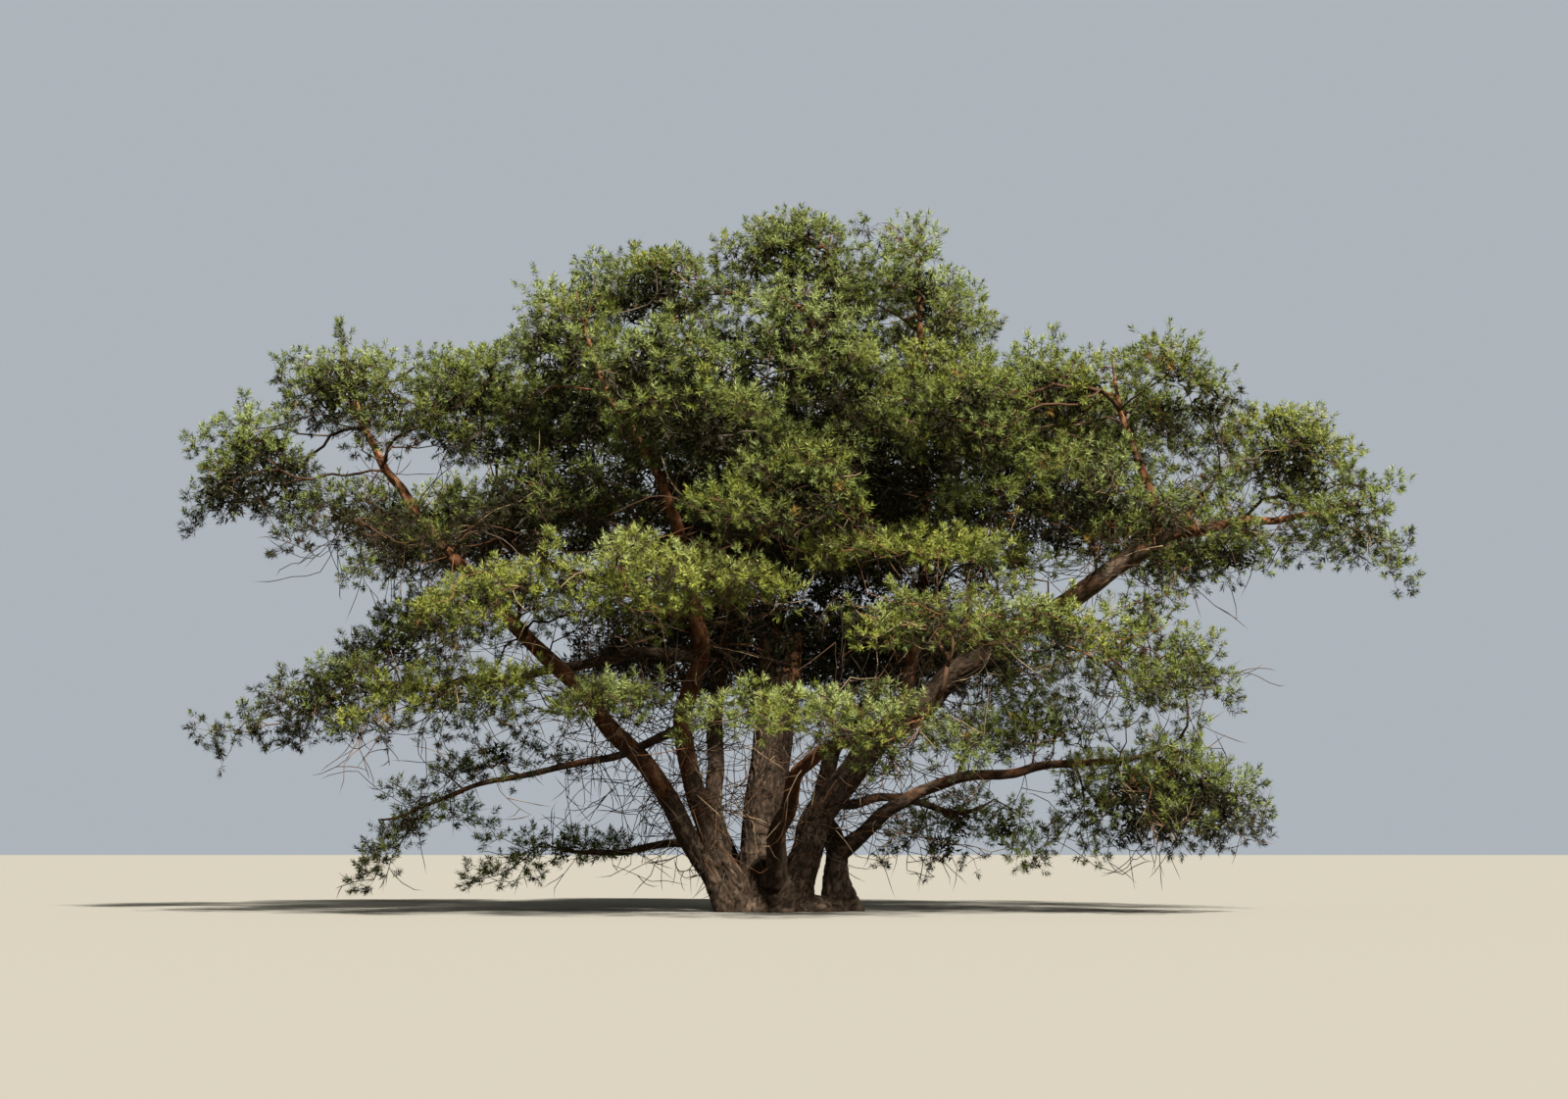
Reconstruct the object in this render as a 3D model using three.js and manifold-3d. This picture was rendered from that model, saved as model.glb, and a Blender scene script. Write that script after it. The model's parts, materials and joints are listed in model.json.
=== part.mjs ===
// A wide heathland Scots pine with several stems from one root, as a tree of named solids.
//
// Frame: +Z up, the origin at the middle of the flat cut under the trunk, at ground level.
// +X is the tree's right and -Y its front. Sizes below are in metres; the meshes are in millimetres.

import * as THREE from "three";
import { mergeVertices } from "three/addons/utils/BufferGeometryUtils.js";
import Module from "manifold-3d";

const wasm = await Module();
wasm.setup();

const MM = 1000;
const LIMB_GAP = 0.0004; // clearance left where a limb meets what it grows from
const FOLIAGE_GAP = 0.0006; // clearance left where a mass of needles meets its neighbour
const LIMB_SIDES = 6;
const RING_STEP = 0.42; // distance between a limb's rings
const COLLAR = 0.35; // swelling where a limb leaves its parent, as a share of its width
const COLLAR_FADE = 1.2; // distance over which that swelling fades, in widths
const TAPER_POWER = 0.85; // below 1, a limb loses its width sooner near its foot
const FOLIAGE_SPLITS = 3; // splits of each edge of the octahedron under a mass
const SHELF_SPLITS = 2; // the same for a shallow mass
const SHELF_HALF_HEIGHT = 0.39; // a mass is shallow below this half height

// Bark colours run from grey-brown at the foot to orange-brown up in the crown.
const FINISHES = {
  old_bark: { color: 0x5a4a40, roughness: 0.95 },
  young_bark: { color: 0x9a5a38, roughness: 0.85 },
  needles: { color: 0x6f8a52, roughness: 0.7 },
};

// The stems rise from one root plate, a low flattened dome. Each foot widens into it.
const ROOT_PLATE = { at: [0.1, 0.1], half: [0.52, 0.36, 0.2] };
const FLARE_LENGTH = 0.44; // how far up a stem its foot reaches
const FLARE_SPREAD = 1.8; // width at the ground, as a share of the stem's own
const FLARE_WAIST = 1.05; // the same at the top of the foot
const FLARE_DEPTH = 0.06; // how far below ground a foot is drawn, before the flat cut

// The leader is broken off at breast height and above: its slanted, torn end is trunk's top.
const TRUNK = {
  width: [0.36, 0.28],
  route: [[-0.11, 0.1, -0.05], [-0.08, 0.14, 0.7], [0, 0.15, 1.38], [0.04, 0.1, 2.16]],
  break_slope_deg: 24,
};

// Every other limb: what it grows from, its width at the foot and at the tip, and the points it passes.
const LIMBS = [
  { name: "stem_right", from: "trunk", bark: "old_bark", width: [0.26, 0.13],
    route: [[0.1, 0, 0.05], [0.33, -0.1, 0.7], [0.6, -0.2, 1.06], [1.31, -0.4, 1.73], [2.95, -0.6, 2.83]] },
  { name: "stem_left", from: "trunk", bark: "young_bark", width: [0.2, 0.05],
    route: [[-0.26, -0.05, 0.05], [-0.58, -0.15, 0.89], [-0.71, -0.3, 1.44], [-0.56, -0.48, 2.05],
      [-0.8, -0.7, 3.08], [-1.34, -0.9, 4.05]] },
  { name: "stem_far_left", from: "trunk", bark: "young_bark", width: [0.19, 0.09],
    route: [[-0.33, -0.05, 0.05], [-0.63, -0.12, 0.58], [-0.95, -0.25, 1.07], [-1.55, -0.4, 1.76],
      [-2.6, -0.4, 2.85]] },
  { name: "stem_back", from: "trunk", bark: "old_bark", width: [0.17, 0.05],
    route: [[-0.3, 0.2, 0.04], [-0.45, 0.4, 0.98], [-0.42, 0.5, 1.82], [-0.3, 0.5, 2.6], [0.34, 0.1, 4.7]] },
  { name: "stem_far_right", from: "trunk", bark: "old_bark", width: [0.19, 0.06],
    route: [[0.5, 0.3, 0.02], [0.46, 0.32, 0.45], [0.4, 0.55, 0.95], [1.2, 2.1, 2.35]] },
  { name: "bough_front", from: "trunk", bark: "young_bark", width: [0.16, 0.06],
    route: [[0, -0.08, 0.22], [0.1, -0.5, 0.84], [0.33, -0.9, 1.15], [0.8, -1.7, 1.3]] },
  { name: "bough_lowest_left", from: "trunk", bark: "old_bark", width: [0.09, 0.045],
    route: [[-0.24, 0.12, 0.14], [-0.6, 0.25, 0.46], [-1, 0.35, 0.5], [-1.4, 0.5, 0.44]] },
  { name: "bough_right_low", from: "stem_far_right", bark: "young_bark", width: [0.13, 0.05],
    route: [[0.47, 0.31, 0.42], [0.72, 0.2, 0.63], [1.2, 0, 0.97], [2, -0.2, 1.06], [2.6, -0.3, 1.15]] },
  { name: "bough_back_low", from: "stem_far_right", bark: "old_bark", width: [0.09, 0.05],
    route: [[0.41, 0.48, 0.82], [0.9, 1, 0.86], [1.5, 1.4, 0.78]] },
  { name: "bough_low_left", from: "stem_left", bark: "young_bark", width: [0.075, 0.03],
    route: [[-0.7, -0.28, 1.38], [-1.25, -0.33, 1.15], [-2.05, -0.4, 1], [-2.7, -0.4, 0.72]] },
  { name: "bough_left_mid", from: "stem_left", bark: "young_bark", width: [0.1, 0.045],
    route: [[-0.57, -0.42, 1.92], [-1.37, -0.3, 1.9], [-1.86, -0.25, 1.76], [-3, -0.2, 1.7]] },
  { name: "bough_back_left", from: "stem_back", bark: "young_bark", width: [0.1, 0.05],
    route: [[-0.42, 0.5, 1.95], [-1.1, 1, 2.5], [-2.1, 1.6, 2.95]] },
  { name: "limb_left_rise", from: "stem_far_left", bark: "young_bark", width: [0.09, 0.045],
    route: [[-2.56, -0.4, 2.8], [-2.95, -0.25, 3.3], [-3.25, 0, 3.95]] },
  { name: "limb_right_leader", from: "stem_right", bark: "young_bark", width: [0.12, 0.05],
    route: [[0.97, -0.25, 1.4], [1.1, 0.3, 2.13], [1.2, 0.6, 3.1], [1.2, 0.45, 4.6]] },
  { name: "limb_right_rise", from: "stem_right", bark: "young_bark", width: [0.1, 0.04],
    route: [[2.9, -0.6, 2.8], [2.83, -0.6, 3.15], [2.66, -0.5, 3.8]] },
  { name: "limb_right_reach", from: "stem_right", bark: "young_bark", width: [0.1, 0.04],
    route: [[2.93, -0.6, 2.82], [3.4, -0.5, 2.9], [4.2, -0.2, 3.05]] },
  { name: "limb_back", from: "stem_back", bark: "young_bark", width: [0.1, 0.045],
    route: [[-0.33, 0.5, 2.5], [-0.2, 1.4, 2.95], [0.1, 2.5, 3.5]] },
];

// Every mass of needles: its middle, its half sizes across, deep and tall,
// and the angle by which its right-hand end stands higher. Earlier masses cut later ones.
const MASSES = [
  ["crown_top", [0.25, 0.5, 5], [0.8, 1.4, 0.46], 0],
  ["crown_top_left", [-0.88, 0.5, 4.88], [0.78, 1.15, 0.42], 8],
  ["crown_top_right", [1.19, 0.7, 4.83], [0.68, 1.2, 0.48], -22],
  ["crown_left_shoulder", [-1.58, -0.5, 4.33], [0.5, 1, 0.56], 0],
  ["crown_front", [-0.55, -1.5, 3.74], [0.86, 1.1, 0.62], 0],
  ["crown_front_right", [0.3, -1.3, 4], [0.78, 0.95, 0.64], -5],
  ["crown_right_front", [1.3, -0.9, 3.72], [0.74, 1.1, 0.54], -8],
  ["crown_front_low", [-0.03, -1.9, 2.98], [0.76, 0.9, 0.42], 0],
  ["right_inner", [2.15, -0.3, 3.95], [0.6, 1, 0.46], 0],
  ["right_top", [3.02, -0.3, 3.95], [0.68, 1, 0.45], -9],
  ["right_outer", [3.9, 0.1, 3.55], [0.76, 1, 0.46], -18],
  ["right_tip", [4.4, -0.2, 3], [0.57, 0.9, 0.44], -12],
  ["right_core", [2.45, -0.6, 3.07], [1.3, 1, 0.46], -7],
  ["left_inner", [-2.27, -0.4, 3.88], [0.66, 1, 0.58], 0],
  ["left_top", [-3.2, 0.2, 4.08], [0.8, 0.95, 0.46], 2],
  ["left_tip", [-3.96, 0, 3.42], [0.57, 0.9, 0.52], 4],
  ["left_front", [-2.94, -0.9, 2.92], [0.68, 0.9, 0.3], -6],
  ["left_core", [-1.78, -0.5, 3.1], [1.02, 1, 0.46], 0],
  ["mid_left", [-1.75, -1.4, 2.33], [1, 1.3, 0.24], 5],
  ["mid_front", [-0.3, -1.7, 2.34], [0.9, 1.5, 0.22], -14],
  ["mid_right_inner", [1.1, -1.7, 2.08], [0.6, 1, 0.24], -5],
  ["mid_right", [2.1, -1.3, 2.04], [0.8, 1.1, 0.3], -8],
  ["mid_right_tip", [2.8, -0.7, 1.94], [0.62, 0.95, 0.3], -12],
  ["upper_mid_right", [1.1, -0.6, 2.73], [1.02, 1.45, 0.25], -5],
  ["low_left_long", [-3.42, -0.4, 1.59], [0.84, 0.8, 0.35], 17],
  ["low_left_top", [-3, 0.6, 2.12], [0.74, 1, 0.38], 18],
  ["low_left_front", [-2.4, -1.15, 1.6], [0.78, 0.95, 0.22], 10],
  ["low_left_hang", [-2.1, 0, 1.2], [0.66, 0.75, 0.24], 6],
  ["lowest_left_tip", [-2.74, -0.4, 0.7], [0.46, 0.55, 0.21], 36],
  ["lowest_left_inner", [-1.72, 0.6, 0.5], [0.74, 0.75, 0.25], 0],
  ["front_low_right", [0.45, -2.1, 1.38], [1.05, 0.95, 0.28], -7],
  ["front_low_left", [-1.05, -1.2, 1.58], [0.52, 1.15, 0.17], 0],
  ["low_right_outer", [2.93, -0.4, 0.92], [0.8, 1, 0.52], -5],
  ["low_right_top", [2.02, -0.1, 1.42], [0.78, 0.85, 0.32], -8],
  ["low_right_hang", [1.6, 1.5, 0.68], [0.85, 0.85, 0.4], 0],
  ["back_upper_left", [-1.7, 1.5, 4.1], [1.05, 1.2, 0.55], 8],
  ["back_upper_right", [2.3, 1.5, 3.95], [1.05, 1.25, 0.52], -10],
  ["back_left", [-2.5, 1.9, 3.12], [1.2, 1.3, 0.42], 6],
  ["back_right", [3.3, 1.7, 2.95], [0.95, 1.15, 0.42], -12],
  ["back_centre", [0.15, 2.5, 3.43], [1.4, 1.2, 0.74], 0],
  ["back_mid_left", [-0.65, 1.9, 2.2], [1.25, 1.2, 0.44], 4],
  ["back_mid_right", [1.45, 2.3, 2.18], [1.2, 1.1, 0.42], -8],
];

// The trunk and the stems whose feet make the root flare.
const rooted = [TRUNK, ...LIMBS.filter((limb) => limb.from === "trunk" && limb.route[0][2] < 0.1)];

// A repeatable stream of numbers from 0 to 1.
function random(seed) {
  let state = (seed * 2654435761) >>> 0;
  return () => {
    state = (state + 0x6d2b79f5) >>> 0;
    let mixed = Math.imul(state ^ (state >>> 15), 1 | state);
    mixed = (mixed + Math.imul(mixed ^ (mixed >>> 7), 61 | mixed)) ^ mixed;
    return ((mixed ^ (mixed >>> 14)) >>> 0) / 4294967296;
  };
}

function solidOf(geometry) {
  const bare = geometry.clone();
  bare.deleteAttribute("normal");
  bare.deleteAttribute("uv");
  const merged = mergeVertices(bare, 1e-3);
  return new wasm.Manifold(new wasm.Mesh({
    numProp: 3,
    vertProperties: merged.attributes.position.array,
    triVerts: new Uint32Array(merged.index.array),
  }));
}

function geometryOf(solid) {
  const { vertProperties, triVerts } = solid.getMesh();
  const geometry = new THREE.BufferGeometry();
  geometry.setAttribute("position", new THREE.BufferAttribute(new Float32Array(vertProperties), 3));
  geometry.setIndex(new THREE.BufferAttribute(new Uint32Array(triVerts), 1));
  geometry.computeVertexNormals();
  return geometry;
}

// The largest body of a solid that a cut may have left in several.
function largest(solid) {
  return solid.decompose().reduce((a, b) => (b.volume() > a.volume() ? b : a));
}

function curveThrough(points) {
  return new THREE.CatmullRomCurve3(points.map((p) => new THREE.Vector3(...p)), false, "centripetal");
}

// A closed cylinder bent along a curve, with its half width at each distance given by radiusAt.
// It is larger by grow on every side, its two ends included.
function bentCylinder(curve, radiusAt, grow) {
  const length = curve.getLength();
  const rings = Math.max(2, Math.round(length / RING_STEP));
  const frames = curve.computeFrenetFrames(rings, false);
  const tube = new THREE.CylinderGeometry(1, 1, 1, LIMB_SIDES, rings);
  const at = tube.attributes.position;
  const p = new THREE.Vector3();
  for (let i = 0; i < at.count; i++) {
    const share = at.getY(i) + 0.5;
    const ring = Math.round(share * rings);
    const radius = radiusAt(share * length, length) + grow;
    p.copy(curve.getPointAt(ring / rings));
    if (ring === 0) p.addScaledVector(frames.tangents[ring], -grow);
    if (ring === rings) p.addScaledVector(frames.tangents[ring], grow);
    p.addScaledVector(frames.normals[ring], at.getX(i) * radius);
    p.addScaledVector(frames.binormals[ring], -at.getZ(i) * radius);
    at.setXYZ(i, p.x * MM, p.y * MM, p.z * MM);
  }
  return solidOf(tube);
}

function taper([foot, tip], swell) {
  return (along, length) => {
    const collar = swell * foot * Math.exp(-along / (COLLAR_FADE * foot));
    return (foot + (tip - foot) * (along / length) ** TAPER_POWER + collar) / 2;
  };
}

function limbSolid(limb, grow = 0) {
  const swell = rooted.includes(limb) ? 0 : COLLAR;
  return bentCylinder(curveThrough(limb.route), taper(limb.width, swell), grow);
}

// The lowest stretch of a stem, widening downwards into the root plate.
function rootFlare(limb, grow) {
  const whole = curveThrough(limb.route);
  const reach = FLARE_LENGTH / whole.getLength();
  const points = [0, 0.5, 1].map((share) => whole.getPointAt(share * reach).toArray());
  points[0][2] = -FLARE_DEPTH;
  const radiusAt = (along, length) =>
    (limb.width[0] / 2) * (FLARE_WAIST + (FLARE_SPREAD - FLARE_WAIST) * (1 - along / length) ** 2);
  return bentCylinder(curveThrough(points), radiusAt, grow);
}

function rootPlate(grow) {
  const dome = new THREE.SphereGeometry(1, 10, 6);
  dome.rotateX(Math.PI / 2);
  dome.scale(...ROOT_PLATE.half.map((half) => (half + grow) * MM));
  dome.translate(ROOT_PLATE.at[0] * MM, ROOT_PLATE.at[1] * MM, 0);
  return solidOf(dome);
}

// Everything above ground level, as a box to intersect with.
function aboveGround() {
  const room = new THREE.BoxGeometry(12 * MM, 12 * MM, 12 * MM);
  room.translate(0, 0, 6 * MM);
  return solidOf(room);
}

// A tilted slab that takes the top off the broken leader.
function breakCut() {
  const top = TRUNK.route.at(-1);
  const slab = new THREE.BoxGeometry(1 * MM, 1 * MM, 0.4 * MM);
  slab.translate(0, 0, 0.2 * MM);
  slab.rotateY(THREE.MathUtils.degToRad(TRUNK.break_slope_deg));
  slab.translate(top[0] * MM, top[1] * MM, (top[2] - 0.1) * MM);
  return solidOf(slab);
}

function trunkSolid(grow = 0) {
  let whole = limbSolid(TRUNK, grow).add(rootPlate(grow));
  for (const limb of rooted) whole = whole.add(rootFlare(limb, grow));
  return whole.subtract(breakCut());
}

// A closed lumpy cushion that fills its named half sizes, flatter below than above.
function foliageSolid([, centre, half, lean], seed, grow = 0) {
  const next = random(seed * 7 + 3);
  const waves = Array.from({ length: 7 }, (_, k) => ({
    way: new THREE.Vector3(next() - 0.5, next() - 0.5, next() - 0.5).normalize().multiplyScalar(2.2 + k * 0.75),
    phase: next() * 2 * Math.PI,
    height: 0.115 / (1 + k * 0.12),
  }));
  const splits = half[2] < SHELF_HALF_HEIGHT ? SHELF_SPLITS : FOLIAGE_SPLITS;
  const ball = new THREE.OctahedronGeometry(1, splits);
  const at = ball.attributes.position;
  const way = new THREE.Vector3();
  for (let i = 0; i < at.count; i++) {
    way.fromBufferAttribute(at, i).normalize();
    const lump = waves.reduce((sum, w) => sum + w.height * Math.cos(w.way.dot(way) + w.phase), 1);
    const rim = Math.hypot(way.x, way.y) ** 4;
    way.multiplyScalar(lump);
    way.z = (way.z < 0 ? way.z * 0.72 : way.z) - 0.12 * rim;
    at.setXYZ(i, way.x, way.y, way.z);
  }
  ball.computeBoundingBox();
  const size = ball.boundingBox.getSize(new THREE.Vector3());
  ball.center();
  ball.scale(...half.map((h, axis) => (2 * (h + grow)) / size.getComponent(axis)));
  const slope = Math.tan(THREE.MathUtils.degToRad(lean));
  for (let i = 0; i < at.count; i++) at.setZ(i, at.getZ(i) + at.getX(i) * slope);
  ball.translate(...centre);
  ball.scale(MM, MM, MM);
  return solidOf(ball);
}

function apart(a, b) {
  const p = a.boundingBox();
  const q = b.boundingBox();
  return [0, 1, 2].some((axis) => p.min[axis] > q.max[axis] || q.min[axis] > p.max[axis]);
}

const ground = aboveGround();
const tree = new THREE.Group();
tree.name = "scots_pine";

function addNode(name, solid, finish) {
  const mesh = new THREE.Mesh(geometryOf(solid), new THREE.MeshStandardMaterial(FINISHES[finish]));
  mesh.name = name;
  tree.add(mesh);
}

// Wood: each limb is cut by the ones before it, with clearance, so that it seats on its parent.
const wood = [{ solid: trunkSolid().intersect(ground), cutter: trunkSolid(LIMB_GAP) }];
addNode("trunk", wood[0].solid, "old_bark");
for (const limb of LIMBS) {
  let solid = limbSolid(limb).intersect(ground);
  for (const { cutter } of wood) if (!apart(solid, cutter)) solid = solid.subtract(cutter);
  solid = largest(solid);
  wood.push({ solid, cutter: limbSolid(limb, LIMB_GAP) });
  addNode(limb.name, solid, limb.bark);
}

// Needles: each mass is cut round the wood and by the masses before it.
const placed = [];
MASSES.forEach((mass, i) => {
  let solid = foliageSolid(mass, i + 1).intersect(ground);
  for (const { cutter } of wood) if (!apart(solid, cutter)) solid = solid.subtract(cutter);
  for (const cutter of placed) if (!apart(solid, cutter)) solid = solid.subtract(cutter);
  solid = largest(solid);
  placed.push(foliageSolid(mass, i + 1, FOLIAGE_GAP));
  addNode(mass[0], solid, "needles");
});

export default tree;
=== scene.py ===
"""A squat scots pine: a broken-topped trunk and five leaning stems from one root, under layered masses of
needles. Lengths are in metres, +Z is up, and the camera looks along +Y."""

import json
import math

import bmesh
import bpy
import numpy as np
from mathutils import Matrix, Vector, noise
from mathutils.bvhtree import BVHTree

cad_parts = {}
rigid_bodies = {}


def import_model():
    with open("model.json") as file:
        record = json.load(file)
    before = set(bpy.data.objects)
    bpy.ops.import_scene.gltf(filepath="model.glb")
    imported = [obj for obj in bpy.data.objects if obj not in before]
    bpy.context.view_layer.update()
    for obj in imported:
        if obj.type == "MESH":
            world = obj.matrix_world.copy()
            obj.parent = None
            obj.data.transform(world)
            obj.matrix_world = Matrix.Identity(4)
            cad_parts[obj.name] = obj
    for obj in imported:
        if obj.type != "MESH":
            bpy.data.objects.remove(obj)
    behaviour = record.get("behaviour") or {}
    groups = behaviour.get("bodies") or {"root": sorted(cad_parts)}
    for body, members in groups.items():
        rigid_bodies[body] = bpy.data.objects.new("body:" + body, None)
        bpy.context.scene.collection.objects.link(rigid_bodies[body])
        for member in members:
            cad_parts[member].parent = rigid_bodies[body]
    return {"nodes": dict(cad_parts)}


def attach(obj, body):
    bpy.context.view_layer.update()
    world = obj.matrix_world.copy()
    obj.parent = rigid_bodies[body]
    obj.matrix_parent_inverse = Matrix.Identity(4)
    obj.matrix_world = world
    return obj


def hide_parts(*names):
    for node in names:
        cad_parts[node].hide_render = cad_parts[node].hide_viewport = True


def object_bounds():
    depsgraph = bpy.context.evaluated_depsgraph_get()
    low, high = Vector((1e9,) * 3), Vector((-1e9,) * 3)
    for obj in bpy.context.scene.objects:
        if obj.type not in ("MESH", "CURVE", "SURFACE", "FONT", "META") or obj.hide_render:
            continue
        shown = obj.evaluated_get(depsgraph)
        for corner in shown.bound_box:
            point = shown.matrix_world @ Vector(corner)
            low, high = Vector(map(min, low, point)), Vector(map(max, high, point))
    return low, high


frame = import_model()
cad_low, cad_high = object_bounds()

# The camera
CAMERA_PLACE = (0.075, -21.0, 0.45)
CAMERA_RISE = math.radians(6.3)
LENS_MM = 62.9
SENSOR_MM = 36.0
FARTHEST_SEEN = 1000

# The light
SUN_TOWARDS = (-0.36, 0.66, -0.86)
SUN_STRENGTH = 7.2
SUN_ANGLE = math.radians(4)
SUN_COLOUR = (1.0, 0.95, 0.82)
FILL_COLOUR = (0.118, 0.121, 0.106)
UNDER_COLOUR = (0.035, 0.027, 0.017)
BACKDROP_COLOUR = (0.42, 0.46, 0.50)
HORIZON = -0.03
FLOOR_HALF = 400.0
FLOOR_HEIGHT = -0.001
FLOOR_COLOUR = (0.40, 0.385, 0.36)


def limb_of(slot, age, width, *route, rooted=False):
    """A limb: its slot of bark, how old its bark is at foot and tip, its widths there, and its route."""
    return {"slot": slot, "age": age, "width": width, "route": route, "rooted": rooted}


LIMBS = {
    "trunk": limb_of(
        "old_bark", (1.0, 0.9), (0.36, 0.28),
        (-0.11, 0.1, -0.05), (-0.08, 0.14, 0.7), (0, 0.15, 1.38), (0.04, 0.1, 2.16), rooted=True,
    ),
    "stem_right": limb_of(
        "old_bark", (1.0, 0.6), (0.26, 0.13),
        (0.1, 0, 0.05), (0.33, -0.1, 0.7), (0.6, -0.2, 1.06), (1.31, -0.4, 1.73), (2.95, -0.6, 2.83),
        rooted=True,
    ),
    "stem_left": limb_of(
        "young_bark", (0.95, 0.0), (0.2, 0.05),
        (-0.26, -0.05, 0.05), (-0.58, -0.15, 0.89), (-0.71, -0.3, 1.44), (-0.56, -0.48, 2.05),
        (-0.8, -0.7, 3.08), (-1.34, -0.9, 4.05), rooted=True,
    ),
    "stem_far_left": limb_of(
        "young_bark", (0.95, 0.05), (0.19, 0.09),
        (-0.33, -0.05, 0.05), (-0.63, -0.12, 0.58), (-0.95, -0.25, 1.07), (-1.55, -0.4, 1.76),
        (-2.6, -0.4, 2.85), rooted=True,
    ),
    "stem_back": limb_of(
        "old_bark", (1.0, 0.2), (0.17, 0.05),
        (-0.3, 0.2, 0.04), (-0.45, 0.4, 0.98), (-0.42, 0.5, 1.82), (-0.3, 0.5, 2.6), (0.34, 0.1, 4.7),
        rooted=True,
    ),
    "stem_far_right": limb_of(
        "old_bark", (1.0, 0.5), (0.19, 0.06),
        (0.5, 0.3, 0.02), (0.46, 0.32, 0.45), (0.4, 0.55, 0.95), (1.2, 2.1, 2.35), rooted=True,
    ),
    "bough_front": limb_of(
        "young_bark", (0.8, 0.2), (0.16, 0.06),
        (0, -0.08, 0.22), (0.1, -0.5, 0.84), (0.33, -0.9, 1.15), (0.8, -1.7, 1.3),
    ),
    "bough_lowest_left": limb_of(
        "old_bark", (0.9, 0.6), (0.09, 0.045),
        (-0.24, 0.12, 0.14), (-0.6, 0.25, 0.46), (-1, 0.35, 0.5), (-1.4, 0.5, 0.44),
    ),
    "bough_right_low": limb_of(
        "young_bark", (0.9, 0.5), (0.13, 0.05),
        (0.47, 0.31, 0.42), (0.72, 0.2, 0.63), (1.2, 0, 0.97), (2, -0.2, 1.06), (2.6, -0.3, 1.15),
    ),
    "bough_back_low": limb_of(
        "old_bark", (0.9, 0.5), (0.09, 0.05),
        (0.41, 0.48, 0.82), (0.9, 1, 0.86), (1.5, 1.4, 0.78),
    ),
    "bough_low_left": limb_of(
        "young_bark", (0.7, 0.5), (0.075, 0.03),
        (-0.7, -0.28, 1.38), (-1.25, -0.33, 1.15), (-2.05, -0.4, 1), (-2.7, -0.4, 0.72),
    ),
    "bough_left_mid": limb_of(
        "young_bark", (0.8, 0.6), (0.1, 0.045),
        (-0.57, -0.42, 1.92), (-1.37, -0.3, 1.9), (-1.86, -0.25, 1.76), (-3, -0.2, 1.7),
    ),
    "bough_back_left": limb_of(
        "young_bark", (0.6, 0.1), (0.1, 0.05),
        (-0.42, 0.5, 1.95), (-1.1, 1, 2.5), (-2.1, 1.6, 2.95),
    ),
    "limb_left_rise": limb_of(
        "young_bark", (0.35, 0.1), (0.09, 0.045),
        (-2.56, -0.4, 2.8), (-2.95, -0.25, 3.3), (-3.25, 0, 3.95),
    ),
    "limb_right_leader": limb_of(
        "young_bark", (0.5, 0.0), (0.12, 0.05),
        (0.97, -0.25, 1.4), (1.1, 0.3, 2.13), (1.2, 0.6, 3.1), (1.2, 0.45, 4.6),
    ),
    "limb_right_rise": limb_of(
        "young_bark", (0.3, 0.0), (0.1, 0.04),
        (2.9, -0.6, 2.8), (2.83, -0.6, 3.15), (2.66, -0.5, 3.8),
    ),
    "limb_right_reach": limb_of(
        "young_bark", (0.5, 0.1), (0.1, 0.04),
        (2.93, -0.6, 2.82), (3.4, -0.5, 2.9), (4.2, -0.2, 3.05),
    ),
    "limb_back": limb_of(
        "young_bark", (0.3, 0.0), (0.1, 0.045),
        (-0.33, 0.5, 2.5), (-0.2, 1.4, 2.95), (0.1, 2.5, 3.5),
    ),
}
# The trunk's two torn stubs, side by side above its fork
STUBS = {
    "stub_left": limb_of(
        "old_bark", (0.9, 0.7), (0.22, 0.165),
        (-0.05, 0.13, 1.5), (-0.035, 0.13, 1.78), (-0.025, 0.11, 2.11),
    ),
    "stub_right": limb_of(
        "old_bark", (0.7, 0.35), (0.17, 0.125),
        (0.07, 0.12, 1.5), (0.125, 0.11, 1.78), (0.15, 0.1, 2.08),
    ),
}
FORK_HEIGHT = 1.80
TAPER_POWER = 0.85
COLLAR = 0.35
COLLAR_FADE = 1.2
FLARE_LENGTH = 0.44
FLARE_WAIST = 1.05
FLARE_GROWTH = 0.75
TIP_STRETCH = 9.0
LONGEST_STRETCH = 0.55
TIP_END_RADIUS = 0.006
TIP_STEPS = 12
TIP_LIFT = 0.25
TIP_POWER = 1.2
STUB_END = 0.05
BELOW_GROUND = 0.12
CROOK = 0.07
CROOK_SIZE = 0.42
CROOK_START = 0.5
ROOT_PLATE_PLACE = (0.1, 0.1)
ROOT_PLATE_HALF = (0.42, 0.27, 0.15)
ROOT_PLATE_BARK = (1.2, 1.6)
ROOT_FISSURES = 0.8
ROOT_RIDGE = 0.05
ROOT_RIPPLE = 0.03
ROOT_LUMP = 0.12
ROOT_LUMP_HEIGHT = 0.03

# The bark: its mesh's steps round and along a limb, its plates and flakes, its lumps, root lobes and knots
OLD_AGE = 0.85
OLD_STEPS = (0.009, 0.015)
YOUNG_STEPS = (0.012, 0.022)
FEWEST_SIDES = 10
MOST_SIDES = 128
AGE_SPAN = (0.05, 0.5)
AGE_DRIFT = 0.25
AGE_DRIFT_SIZE = 0.3
PLATE_WAVES = ((0.7, 0.45), (2.6, 0.22))
TINT_MIX = (12.9898, 78.233, 37.719)
TINT_SPREAD = 43758.5453
PLATE_WIDTH = 0.026
PLATE_LENGTH = 0.080
FISSURE_DEPTH = 0.010
FISSURE_SHARE = 0.22
FISSURE_FLOOR = 0.02
PLATE_STEP = 0.35
FULL_DEPTH_RADIUS = 0.1
DEPTH_SHARES = (0.25, 1.1)
FLAKE_WIDTH = 0.045
FLAKE_LENGTH = 0.07
FLAKE_DEPTH = 0.003
FLAKE_EDGE = 0.12
FLAKE_CRACK = 0.45
FLAKES_APART = 7.0
LIMBS_APART = 3.1
OCTAVES = 3
OCTAVE_STEP = 2.1
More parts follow.
